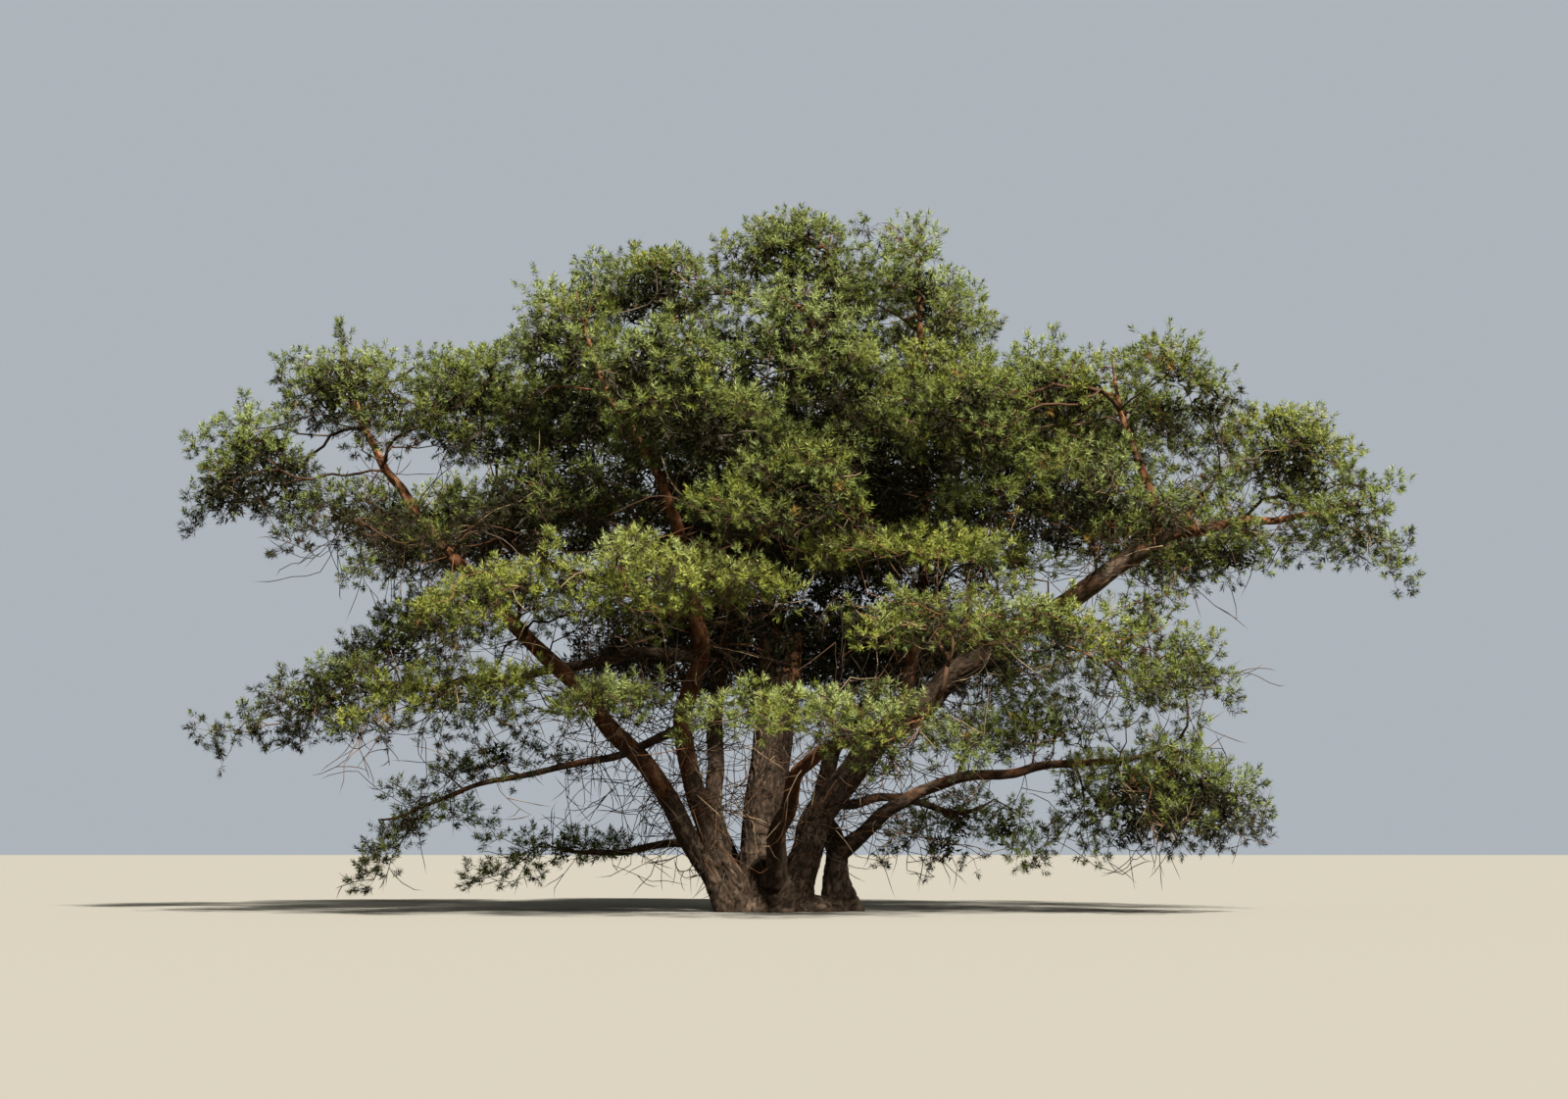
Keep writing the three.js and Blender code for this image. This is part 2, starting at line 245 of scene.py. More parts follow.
OCTAVE_FALL = 0.8
LUMP_LENGTH = 3.2
LEAST_LUMP = 0.05
LUMP_HEIGHT = 0.07
LOBE_LENGTH = 1.3 * FLARE_LENGTH
LOBE_HEIGHT = 0.10
FEWEST_KNOTS = 2
KNOT_STEP = 0.45
KNOT_SPAN = (0.15, 0.95)
KNOT_SIZE = (0.35, 0.7)
KNOT_STRETCH = 0.7
KNOT_HEIGHT = 0.16
KNOT_STEEPNESS = 2.2
SCAR_NARROWNESS = 3.2
SCAR_DEPTH = 0.13
SCAR_DARKNESS = 0.9

# The torn top of the trunk
SNAG_DEPTH = 0.14
TEAR_SLOPE = 0.05
TEETH = 0.025
SPLINTERS = 0.016
TEAR_WALL = 0.03
TEAR_DEPTH = 0.07
TEAR_CLOSING = 0.9

# The masses of needles that go into one piece, by region of the tree
REGIONS = {
    "crown_top": ["crown_top", "crown_top_left", "crown_top_right", "crown_left_shoulder"],
    "crown_front": ["crown_front", "crown_front_right", "crown_right_front", "crown_front_low"],
    "right": ["right_inner", "right_top", "right_outer", "right_tip", "right_core"],
    "left": ["left_inner", "left_top", "left_tip", "left_front", "left_core"],
    "middle": [
        "mid_left", "mid_front", "mid_right_inner", "mid_right", "mid_right_tip", "upper_mid_right",
    ],
    "low_left": [
        "low_left_long", "low_left_top", "low_left_front", "low_left_hang", "lowest_left_tip",
        "lowest_left_inner",
    ],
    "low_right": ["front_low_right", "front_low_left", "low_right_outer", "low_right_top", "low_right_hang"],
    "back_upper": ["back_upper_left", "back_upper_right"],
    "back_sides": ["back_left", "back_right"],
    "back_lower": ["back_centre", "back_mid_left", "back_mid_right"],
}
# How full a mass is of needles, where it isn't full
FULLNESS = {
    "left_core": 0.85, "low_left_hang": 0.5, "low_left_long": 0.9, "low_left_top": 0.9,
    "lowest_left_tip": 0.8, "lowest_left_inner": 0.65, "low_right_hang": 0.5, "low_right_top": 0.85,
    "back_mid_left": 0.7, "front_low_left": 0.85,
}
# How yellow a mass's needles are, from 0, blue-green, to 1, yellow-green
YELLOWNESS = {
    "mid_left": 0.75, "mid_front": 0.8, "upper_mid_right": 0.75, "front_low_left": 0.5,
    "front_low_right": 0.25, "mid_right": 0.6, "mid_right_inner": 0.6, "mid_right_tip": 0.4,
    "low_left_front": 0.75, "right_outer": 0.55, "right_top": 0.4, "right_inner": 0.45,
    "low_right_outer": 0.45, "low_right_top": 0.5, "crown_right_front": 0.45, "crown_front_low": 0.55,
    "left_front": 0.35, "right_tip": 0.45,
}
COMMON_YELLOWNESS = 0.3
# How many steps of painted shade, or below 0 of painted light, a mass's needles get
PAINTED_SHADE_BY_MASS = {
    "left_front": 3.0, "left_core": 2.4, "crown_front_low": 0.8, "right_core": 0.8, "crown_front": 0.6,
    "low_left_front": 0.7, "mid_front": -0.3, "low_left_top": 2.4, "low_left_long": 2.3, "low_left_hang": 1.8,
    "low_right_outer": 1.0, "low_right_top": 0.5, "crown_top": 0.9, "crown_top_left": 0.9, "left_tip": 1.1,
    "left_inner": 1.0, "left_top": 0.9, "right_inner": 0.6, "right_top": 0.9, "right_outer": 0.4,
    "right_tip": 0.6, "mid_left": 0.7, "mid_right_tip": 0.8, "lowest_left_tip": 0.9, "front_low_left": -0.9,
    "crown_left_shoulder": 0.4, "crown_right_front": 0.3,
}
# How many of a mass's clumps under it are there, where it isn't the common share
UNDERSIDES = {
    "left_top": 0.95, "left_inner": 0.9, "left_tip": 0.7, "right_inner": 0.8, "right_top": 0.8,
    "right_outer": 0.55, "crown_left_shoulder": 0.7, "crown_top_left": 0.6,
}
# The space in front of the torn trunk, where no needles hang
CLEARING = ((-0.24, -2.2, 1.66), (0.34, 0.5, 2.12))

# The middles of clumps placed one by one: tufts past a mass's outline, and needles in front of a bare limb
SPURS = {
    "crown_top_left": [(-1.42, -0.2, 4.97), (-0.9, -0.1, 5.02)],
    "crown_top": [(-0.38, 0.1, 5.2)],
    "crown_top_right": [(1.15, -0.1, 5.08), (1.6, -0.3, 4.48)],
    "left_inner": [(-2.55, 0, 4.25), (-2.5, -0.6, 3.6), (-2.3, -0.8, 3.5)],
    "left_top": [
        (-2.76, 0.1, 4.27), (-2.75, -0.45, 3.66), (-3.0, -0.35, 3.72), (-3.15, 0.05, 4.25),
        (-3.12, -0.45, 3.5), (-3.2, -0.45, 3.75), (-3.3, -0.4, 3.95), (-2.95, -0.45, 3.95),
        (-3.1, -0.5, 3.66), (-3.2, -0.5, 3.85),
    ],
    "left_tip": [(-4.3, -0.1, 3.68), (-4.33, -0.1, 3.12), (-4.45, -0.1, 3.6), (-4.45, -0.1, 2.98)],
    "right_inner": [(2.72, -0.85, 3.45), (2.85, -0.8, 3.75), (2.5, -0.9, 3.3)],
    "right_top": [
        (3.1, -0.75, 3.4), (3.35, -0.6, 3.55), (3.3, -0.7, 3.2), (3.05, -0.6, 3.65), (2.7, -0.1, 4.22),
        (3.42, 0, 3.95),
    ],
    "right_outer": [(3.85, 0, 3.8), (4.2, 0, 3.66), (4.0, 0, 3.82), (3.5, -0.72, 2.98), (3.85, -0.62, 3.06)],
    "right_tip": [(4.45, 0.1, 3.55), (4.3, -0.1, 2.85), (4.05, -0.1, 2.75)],
    "mid_right": [(2.55, -0.6, 2.28), (2.05, -0.7, 2.6)],
    "mid_right_tip": [(2.95, -0.5, 2.3)],
    "low_left_top": [(-2.2, -0.5, 2.05), (-2.4, -0.5, 1.95), (-2.0, -0.6, 2.0)],
    "low_left_front": [(-1.9, -0.6, 1.45), (-2.3, -0.6, 1.4), (-1.6, -0.6, 1.5)],
    "low_left_long": [(-3.7, -0.4, 1.75), (-3.6, -0.3, 1.38), (-2.5, -0.5, 1.3)],
    "lowest_left_tip": [(-2.8, -0.4, 0.9), (-2.75, -0.4, 0.65)],
    "lowest_left_inner": [(-2.15, 0, 0.6)],
    "low_right_top": [(2.65, -0.5, 1.4), (2.4, -0.5, 1.35), (1.75, -0.7, 1.25), (1.5, -0.7, 1.3)],
    "low_right_outer": [(3.2, -0.4, 1.12), (3.6, -0.4, 1.0), (3.62, -0.4, 0.75)],
    "low_right_hang": [
        (2.35, -0.3, 0.62), (2.6, 0, 0.6), (2.15, 0, 0.66), (2.4, -0.3, 0.45), (1.9, -0.2, 0.45),
    ],
}
SPUR_RADIUS = (0.13, 0.17)

# The clumps of shoots
SEED = 20261
# Blender's noise vectors follow the clock unless they are seeded
noise.seed_set(SEED)
CLUMP_RADIUS = (0.14, 0.27)
THINNEST_SHARE = 0.72
CLUMP_INSET = (0.65, 0.95)
CLUMP_GAP = 0.70
GAP_POWER = 0.6
PROUD_SHARE = 0.22
PROUD_INSET = 0.45
UNDERSIDE_SLOPE = -0.3
UNDERSIDE_SHARE = 0.36
UNDERSIDE_SIZE = 0.85
UNDERSIDE_GAP = 1.25
UNDERSIDE_SHOOTS = 0.6
BURIED_DEPTH = 0.10
BURIED_SHARE = 0.08
# Clumps buried deeper than this in another mass count as undersides, which also gives them the underside's
# painted shade
SHADED_DEPTH = 0.05
BILLOW_SIZE = 0.5
BILLOW_DEPTH = 0.10
BILLOW_LIMIT = 0.6
CANDIDATES_PER_M2 = 140
SHOOTS_PER_M2 = 515.0
SHOOT_COUNT_RANGE = (0.9, 1.1)
FEWEST_SHOOTS = 5
FEWEST_SHOOTS_BELOW = 4
FEWEST_HUBS = 2
SHOOTS_PER_HUB = 4
HUB_REACH = (0.34, 0.5)
SHOOT_REACH = (0.85, 1.12)
LONG_SHOOT_SHARE = 0.1
LONG_SHOOT_REACH = 1.3
SHOOT_SIZE = (0.88, 1.12)
GOLDEN_TURN = 2.39996
WAY_WOBBLE = 0.12
HEADING_WOBBLE = 0.16
SHOOT_LIFT = 0.30
SHOOT_LIFT_BELOW = 0.05
STICK_OVERRUN = 0.25
CAP_FLOOR = -0.15
LOWEST_SHOOT = 0.16
HIGHEST_SHOOT = 5.54
SHOOT_NEEDLED = 0.064
LAST_NEEDLE = 0.94
NEEDLE_PAIRS = 15
NEEDLE_LENGTH = 0.056
NEEDLE_LENGTHS = (0.85, 1.12)
TIP_SHORTENING = 0.12
TURN_WOBBLE = 0.25
FOOT_TILT = 84
TILT_DROP = 52
TILT_POWER = 1.3
TILT_WOBBLE = 0.14
PAIR_TURN = (0.08, 0.22)
PAIR_LEAN = (0.02, 0.10)
FACING_AHEAD = 0.4
FACING_ROUND = 0.35
FACING_OUT = 0.7
FACING_WOBBLE = 0.3
NEEDLE_WIDTH = 0.0050
WIDEST_SHARE = 0.36
# Broad heart blades under each shoot's needles, coloured in the shoot's painted shade
HEART_BLADES = 8
HEART_LENGTH = 0.036
HEART_LENGTHS = (0.85, 1.15)
HEART_TURNS = 3
HEART_TILTS = (75, 25)
HEART_WOBBLE = 0.1
HEART_SPAN = 0.9
HEART_WIDTH = 0.011
TEMPLATES = 24
LEADER_SHARE = 0.16
LEADER_HEIGHT = (0.15, 0.24)
LEADER_SLOPE = 0.15
LEADER_ROOM = 0.1
LEADER_SHOOTS = 14
LEADER_RISE = 0.8
LEADER_LIFT = 0.1
LEADER_WOBBLE = 0.1
LEADER_WHORLS = (0.1, 0.5, 0.9)
LEADER_SPREADS = (1.25, 0.9, 0.5)
LEADER_SPREAD = 0.62
LEADER_REACH = (0.10, 0.135)

# The tangles inside each mass and in the hollows between the masses: dark blades of painted shade that stand
# for the dead twigs and shaded needles there
INNER_TRIES_PER_M3 = 350
INNER_RADIUS = (0.07, 0.11)
INNER_GAP_POWER = 0.8
INNER_GAP = 0.18
INNER_DEPTH = 0.22
INNER_DEPTH_SHARE = 0.7
FULL_TANGLE_DEPTH = 0.42
TANGLE_SIZES = (0.4, 1.1)
BLADE_LENGTHS = (0.6, 1.3)
INNER_SHOOTS = 6
INNER_BLADES = 14
INNER_SPREAD = 0.06
INNER_LENGTH = 0.13
INNER_WIDTH = 0.021
HOLLOWS = (((-2.3, -0.7, 2.3), (2.7, 1.7, 4.6)), ((-1.7, -0.3, 1.65), (1.8, 1.7, 2.6)))
HOLLOW_GAP = 0.25

# The branches
CARRIER_TRIES_PER_M3 = 260
CARRIER_GAP = 0.34
CARRIER_DEPTH = 0.09
CARRIER_HEIGHT = 0.6
CARRIER_RISE = 0.15
NODE_STEP = 0.115
TURN_COST = 0.55
PATH_COST = 0.30
NEAREST_START = 0.05
NEAR_COST = 0.3
KEPT_HEADING = 0.7
TWIG_LEAD = 0.8
TWIG_WOBBLE = 0.10
WOBBLE_REACH = 0.2
MOST_WOBBLE = 1.5
ROOTED_BARE_PART = 0.45
BARE_PART = 0.3
LOWEST_BOUGH = 0.4
LIMB_PATH = 0.10
CLUMP_SPREAD = 0.45
CLUMP_RISE = 0.75
HANGING_RISE = -0.05
AIM_WOBBLE = 0.12
BASE_BELOW = 0.25
ARRIVING = 0.8
AXIS_BEND = 0.35
TIP_RADIUS = 0.0036
PIPE_POWER = 2.2
FLOW_RADIUS = 0.2
END_FLOW = 0.15
LEAST_FLOW = 0.05
FORK_SWELL = 1.25
TUBE_SIDES = ((0.016, 7), (0.008, 5), (0.0055, 4), (0, 3))
LOW_SPRAYS = 185
BARE_SPRAYS = 700
LOW_SPRAY_STEPS = (4, 9)
BARE_SPRAY_STEPS = (2, 5)
BARE_FORKINGS = 2
BARE_FORK_SHARE = 0.6
BARE_FORK_SPREAD = 0.75
BARE_STEP = 0.13
BARE_STEP_RANGE = (0.5, 1.0)
BARE_BEND = 0.16
BARE_WOBBLE = 0.12
BARE_RISE = 0.03
BARE_HEADING = 0.3
BARE_FALL = 0.8
BARE_LEVEL = 0.1
BARE_FLOW = 0.12
LOWEST_BARE = 0.08
STICK_RADIUS = 0.0026
DEAD_RADIUS = 0.0032
THICKEST_BOUGH = 0.024
HIGHEST_BARE = 3.2
WIDEST_BARE = 3.2
LOWEST_TWIG = 0.55
BARE_PATH = 9.0
MOST_NODES = 60000

TAU = 2 * math.pi
# A direction that no shoot or twig runs along
ASKEW = np.array([0.31, 0.77, 0.55])


def unit(v):
    """v, or each row of v, at length 1."""
    v = np.asarray(v, float)
    return v / np.maximum(np.linalg.norm(v, axis=-1, keepdims=True), 1e-9)


def ease(low, high, x):
    """0 below low, 1 above high, and smooth between them."""
    t = np.clip((x - low) / (high - low), 0, 1)
    return t * t * (3 - 2 * t)


# Curves


def smooth_curve(route, per_span=60):
    """Points of a centripetal Catmull-Rom curve through the route, whose ends run straight on."""
    p = [np.array(point, float) for point in route]
    p = [2 * p[0] - p[1], *p, 2 * p[-1] - p[-2]]
    t = np.linspace(0, 1, per_span, endpoint=False)[:, None]
    spans = []
    for a, b, c, d in zip(p, p[1:], p[2:], p[3:]):
        before, between, after = (np.sum((v - u) ** 2) ** 0.25 for u, v in ((a, b), (b, c), (c, d)))
        leave = ((b - a) / before - (c - a) / (before + between) + (c - b) / between) * between
        arrive = ((c - b) / between - (d - b) / (between + after) + (d - c) / after) * between
        spans.append(
            b + leave * t + (3 * (c - b) - 2 * leave - arrive) * t**2 + (2 * (b - c) + leave + arrive) * t**3
        )
    return np.concatenate([*spans, p[-2][None]])


def lengths_along(points):
    """The distance of each point from the first, along the line."""
    return np.concatenate([[0], np.cumsum(np.linalg.norm(np.diff(points, axis=0), axis=1))])


def even_points(points, step):
    """The line's points again, evenly spaced, and their distances along it."""
    lengths = lengths_along(points)
    count = max(3, int(round(lengths[-1] / step)) + 1)
    s = np.linspace(0, lengths[-1], count)
    return np.stack([np.interp(s, lengths, points[:, k]) for k in range(3)], 1), s


def turning_frames(points):
    """Tangents of a line, and two directions across it that turn as little as they can."""
    tangents = unit(np.gradient(points, axis=0))
    across = np.zeros_like(points)
    start = np.array([1.0, 0, 0]) if abs(tangents[0][0]) < 0.8 else np.array([0, 1.0, 0])
    for i, t in enumerate(tangents):
        start = start - t * np.dot(start, t)
        start = start / np.linalg.norm(start)
        across[i] = start
    return tangents, across, np.cross(tangents, across)


# The bark of one limb


def tip_stretch(limb):
    """How far a limb's bark runs on past its solid's tip."""
    return min(TIP_STRETCH * limb["width"][1], LONGEST_STRETCH)


def limb_line(limb):
    """The slightly crooked middle line of a limb's bark: down to the ground under a rooted foot, and
    drawn out past its solid's tip, where it thins into the needles."""
    line = smooth_curve(limb["route"])
    if limb is not LIMBS["trunk"] and limb not in STUBS.values():
        bend = np.array([noise.noise_vector(Vector(p) / CROOK_SIZE) for p in line])
        line = line + bend * CROOK * ease(0, CROOK_START, lengths_along(line))[:, None]
    ahead = unit(line[-1] - line[-3])
    stretch = tip_stretch(limb)
    steps = np.linspace(0, 1, TIP_STEPS)[1:, None]
    tip = line[-1] + ahead * steps * stretch + np.array([0, 0, TIP_LIFT * stretch]) * steps**2
    if limb is LIMBS["trunk"]:
        line = line[line[:, 2] < FORK_HEIGHT]
    if limb is LIMBS["trunk"] or limb in STUBS.values():
        tip = line[-1:] + ahead * STUB_END
    below = []
    if limb["rooted"]:
        rise = unit(line[2] - line[0])
        below = [line[0] - rise * (line[0][2] + BELOW_GROUND) / rise[2]]
    return np.vstack([*below, line, tip])


def limb_radius(limb, s, solid_length):
    """The limb's radius at each distance s from its foot, as its solid has it up to the solid's tip."""
    foot, tip = limb["width"]
    inside = np.clip(s / solid_length, 0, 1)
    radius = (foot + (tip - foot) * inside**TAPER_POWER) / 2
    if limb["rooted"]:
        near = np.clip(1 - s / FLARE_LENGTH, 0, 1)
        radius = radius * (FLARE_WAIST + FLARE_GROWTH * near**2) ** (near > 0)
    else:
        radius = radius + COLLAR * foot * np.exp(-np.maximum(s, 0) / (COLLAR_FADE * foot)) / 2
    past = np.clip((s - solid_length) / tip_stretch(limb), 0, 1)
    return radius + (TIP_END_RADIUS - radius) * past**TIP_POWER


def plates(place, size_round, size_along):
    """How far each point is inside its plate of bark, from 0 in a fissure, and its plate's own number."""
    inside = np.empty(len(place))
    tint = np.empty(len(place))
    scaled = place / np.array([size_round, size_round, size_along])
    for i, p in enumerate(scaled):
        bend = sum((noise.noise_vector(Vector(p) * rate) * reach for rate, reach in PLATE_WAVES), Vector())
        distances, centres = noise.voronoi(Vector(p) + bend)
        inside[i] = distances[1] - distances[0]
        mixed = sum(place * share for place, share in zip(centres[0], TINT_MIX))
        tint[i] = (math.sin(mixed) * TINT_SPREAD) % 1
    return inside, tint


def soft_noise(place, size):
    """Smooth noise about zero, at each point."""
    return np.array([noise.fractal(Vector(p) / size, OCTAVE_FALL, OCTAVE_STEP, OCTAVES) for p in place])


def bark_relief(limb_space, angle, s, radius, age, rng, rooted, solid_length):
    """The radius of each point of the bark, and what its colour reads: fissures and plate numbers."""
    lumps = soft_noise(limb_space, LUMP_LENGTH * radius.mean() + LEAST_LUMP) * LUMP_HEIGHT * radius
    old_inside, old_tint = plates(limb_space, PLATE_WIDTH, PLATE_LENGTH)
    young_inside, young_tint = plates(limb_space + FLAKES_APART, FLAKE_WIDTH, FLAKE_LENGTH)
    fissure = 1 - ease(FISSURE_FLOOR, FISSURE_SHARE, old_inside)
    edge = 1 - ease(0.0, FLAKE_EDGE, young_inside)
    depth = FISSURE_DEPTH * np.clip(radius / FULL_DEPTH_RADIUS, *DEPTH_SHARES)
    grown = radius + lumps - age * depth * fissure - (1 - age) * FLAKE_DEPTH * edge
    grown += age * depth * PLATE_STEP * (old_tint - 0.5)
    if rooted:
        near = np.clip(1 - s / LOBE_LENGTH, 0, 1)
        turn = rng.uniform(0, TAU)
        lobes = np.cos(3 * angle + turn) + 0.6 * np.cos(5 * angle + 2.3 * turn)
        grown += radius * LOBE_HEIGHT * near**1.5 * lobes
    crack = np.clip(age * fissure + (1 - age) * FLAKE_CRACK * edge, 0, 1)
    for _ in range(int(FEWEST_KNOTS + solid_length / KNOT_STEP)):
        knot_s = rng.uniform(*KNOT_SPAN) * solid_length
        knot_angle = rng.uniform(0, TAU)
        size = rng.uniform(*KNOT_SIZE)
        turned = (angle - knot_angle + math.pi) % TAU - math.pi
        away = np.sqrt((turned * radius) ** 2 + ((s - knot_s) * KNOT_STRETCH) ** 2) / (radius * size + 1e-6)
        grown += radius * KNOT_HEIGHT * size * np.exp(-(away**2) * KNOT_STEEPNESS)
        scar = np.exp(-((away * SCAR_NARROWNESS) ** 2))
        grown -= radius * SCAR_DEPTH * size * scar
        crack = np.maximum(crack, scar * SCAR_DARKNESS)
    tint = age * old_tint + (1 - age) * young_tint
    return grown, crack, tint


def grid_mesh(rings, sides):
    """A flat grid of rings by sides, with each vertex's place in it as numbers from 0 to 1."""
    bm = bmesh.new()
    bmesh.ops.create_grid(bm, x_segments=rings, y_segments=sides, size=0.5)
    mesh = bpy.data.meshes.new("grid")
    bm.to_mesh(mesh)
    bm.free()
    place = np.empty(len(mesh.vertices) * 3)
    mesh.vertices.foreach_get("co", place)
    place = place.reshape(-1, 3) + 0.5
    return mesh, place[:, 0], place[:, 1] % 1.0


def add_numbers(mesh, **columns):
    """Gives each vertex of the mesh one number of each name."""
    for name, values in columns.items():
        attribute = mesh.attributes.new(name, "FLOAT", "POINT")
        attribute.data.foreach_set("value", np.asarray(values, np.float32))


def closed_piece(name, mesh, floor_cut):
    """Joins the tube's long seam, cuts it flat at the ground, closes its ends and makes it a piece."""
    bm = bmesh.new()
    bm.from_mesh(mesh)
    bmesh.ops.remove_doubles(bm, verts=bm.verts, dist=1e-6)
    if floor_cut:
        everything = list(bm.verts) + list(bm.edges) + list(bm.faces)
        bmesh.ops.bisect_plane(bm, geom=everything, plane_co=(0, 0, 0), plane_no=(0, 0, 1), clear_inner=True)
    bmesh.ops.holes_fill(bm, edges=[e for e in bm.edges if e.is_boundary], sides=0)
    bmesh.ops.triangulate(bm, faces=[f for f in bm.faces if len(f.verts) > 4])
    bmesh.ops.recalc_face_normals(bm, faces=bm.faces)
    for face in bm.faces:
        face.smooth = True
    bm.to_mesh(mesh)
    bm.free()
    mesh.name = name
    piece = bpy.data.objects.new(name, mesh)
    bpy.context.scene.collection.objects.link(piece)
    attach(piece, "root")
    return piece


def limb_bark(name, limb):
    """A limb's bark: a grid bent round its middle line and raised into plates, fissures and knots."""
    rng = np.random.default_rng([SEED, 10, list(LIMBS | STUBS).index(name)])
    round_step, along_step = OLD_STEPS if max(limb["age"]) > OLD_AGE else YOUNG_STEPS
    mean_width = (limb["width"][0] + limb["width"][1]) / 2
    line, s = even_points(limb_line(limb), along_step)
    solid_length = lengths_along(smooth_curve(limb["route"]))[-1]
    if limb["rooted"]:
        s = s - np.interp(0, line[:, 2], s)
        solid_length += limb["route"][0][2]
    sides = int(np.clip(math.pi * mean_width / round_step, FEWEST_SIDES, MOST_SIDES))
    mesh, u, v = grid_mesh(len(s) - 1, sides)
    ring = np.rint(u * (len(s) - 1)).astype(int)
    angle = TAU * v
    _, across, beside = turning_frames(line)
    radius = limb_radius(limb, s, solid_length)[ring]
    height = s[ring]
    age = np.interp(height / solid_length, AGE_SPAN, limb["age"])
    apart = LIMBS_APART * rng.uniform(1, 9)
    limb_space = np.stack([radius * np.cos(angle), radius * np.sin(angle), height + apart], 1)
    age = np.clip(age + AGE_DRIFT * soft_noise(limb_space, AGE_DRIFT_SIZE), 0, 1)
    grown, crack, tint = bark_relief(
        limb_space, angle, height, radius, age, rng, limb["rooted"], solid_length
    )
    out = across[ring] * np.cos(angle)[:, None] + beside[ring] * np.sin(angle)[:, None]
    place = line[ring] + out * grown[:, None]
    torn = np.zeros(len(place))
    if name == "trunk" or name in STUBS:
        place, torn = tear_top(place, line, height, angle, s[-1])
    mesh.vertices.foreach_set("co", place.ravel())
    add_numbers(mesh, age=age, crack=crack, tint=tint, torn=torn)
    return closed_piece("bark_" + name, mesh, limb["rooted"])


def tear_top(place, line, height, angle, length):
    """Bends the last rings in to a torn, splintered hollow."""
    top = line[-1]
    rim = ease(length - SNAG_DEPTH, length, height)
    slope = TEAR_SLOPE * np.cos(angle + 0.5)
    ragged = TEETH * np.sin(7 * angle) * np.cos(3 * angle + 1) + SPLINTERS * np.sin(19 * angle)
    place = place.copy()
    place[:, 2] += rim * (slope + ragged)
    inward = np.clip((height - length + TEAR_WALL) / TEAR_WALL, 0, 1)
    place[:, :2] += (top[:2] - place[:, :2]) * (TEAR_CLOSING * inward)[:, None]
    place[:, 2] -= TEAR_DEPTH * inward
    streak = 0.5 + 0.5 * np.sin(5 * angle + 30 * (length - height))
    return place, np.clip(inward * 3 + rim**2 * streak, 0, 1)


def root_plate():
    """The low mound where the stems join at the ground."""
    bm = bmesh.new()
    bmesh.ops.create_icosphere(bm, subdivisions=6, radius=1.0)
    bmesh.ops.scale(bm, vec=ROOT_PLATE_HALF, verts=bm.verts)
    mesh = bpy.data.meshes.new("root_plate")
    bm.to_mesh(mesh)
    bm.free()
    place = np.empty(len(mesh.vertices) * 3)
    mesh.vertices.foreach_get("co", place)
    place = place.reshape(-1, 3)
    out = unit(place)
    inside, tint = plates(place, *(PLATE_WIDTH * share for share in ROOT_PLATE_BARK))
    fissure = 1 - ease(FISSURE_FLOOR, FISSURE_SHARE, inside)
    angle = np.arctan2(place[:, 1], place[:, 0])
    ridges = ROOT_RIDGE * np.cos(7 * angle + 1.3) + ROOT_RIPPLE * np.cos(11 * angle)
    level = 1 - np.abs(out[:, 2])
    rise = soft_noise(place, ROOT_LUMP) * ROOT_LUMP_HEIGHT - FISSURE_DEPTH * ROOT_FISSURES * fissure
    grown = place * (1 + (ridges * level)[:, None]) + out * rise[:, None]
    grown[:, :2] += np.array(ROOT_PLATE_PLACE)
    mesh.vertices.foreach_set("co", grown.ravel())
    count = len(place)
    add_numbers(mesh, age=np.ones(count), crack=fissure, tint=tint, torn=np.zeros(count))
    return closed_piece("bark_root_plate", mesh, True)


# Materials


class Nodes:
    """Short ways to add and join the nodes of one material."""

    def __init__(self, name):
        self.material = bpy.data.materials.new(name)
        self.material.use_nodes = True
        self.tree = self.material.node_tree
        self.shader = self.tree.nodes["Principled BSDF"]

    def add(self, kind, settings=None, **inputs):
        node = self.tree.nodes.new(kind)
        for key, value in (settings or {}).items():
            setattr(node, key, value)
        for key, value in inputs.items():
            socket = node.inputs[int(key[1:])] if key[0] == "i" and key[1:].isdigit() else node.inputs[key]
            self.put(socket, value)
        return node

    def put(self, socket, value):
        if isinstance(value, bpy.types.NodeSocket):
            self.tree.links.new(value, socket)
        else:
            socket.default_value = value

    def number(self, name):
        return self.add("ShaderNodeAttribute", {"attribute_name": name}).outputs["Fac"]

    def math(self, operation, a, b=0.0, clamp=False):
        return self.add("ShaderNodeMath", {"operation": operation, "use_clamp": clamp}, i0=a, i1=b).outputs[0]

    def blend(self, share, a, b, kind="MIX"):
        node = self.add("ShaderNodeMix", {"data_type": "RGBA", "blend_type": kind}, i0=share, i6=a, i7=b)
        return node.outputs[2]

    def ramp(self, value, *stops):
        node = self.add("ShaderNodeValToRGB", None, i0=value)
        ends = node.color_ramp.elements
        for i, (where, colour) in enumerate(stops):
            stop = ends[i] if i < 2 else ends.new(where)
            stop.position = where
            stop.color = (*colour, 1)
        return node.outputs["Color"]

    def noise(self, place, scale, detail=4.0, rough=0.6):
        return self.add(
            "ShaderNodeTexNoise", None, Vector=place, Scale=scale, Detail=detail, Roughness=rough
        ).outputs["Fac"]


BLACK = (0, 0, 0)
WHITE = (1, 1, 1)
OLD_BARK = (
    (0.15, (0.058, 0.038, 0.028)), (0.85, (0.32, 0.24, 0.185)), (0.45, (0.125, 0.085, 0.060)),
    (0.65, (0.20, 0.135, 0.098)),
)
YOUNG_BARK = (
    (0.15, (0.10, 0.036, 0.019)), (0.9, (0.64, 0.41, 0.25)), (0.45, (0.25, 0.092, 0.040)),
    (0.68, (0.44, 0.20, 0.09)),
)
TORN_WOOD = ((0.3, (0.16, 0.07, 0.03)), (0.7, (0.46, 0.24, 0.11)))
GREY_PATCH = (0.30, 0.27, 0.21, 1)
SPECK_COLOUR = (0.05, 0.03, 0.02, 1)
FISSURE_COLOUR = (0.022, 0.014, 0.010, 1)


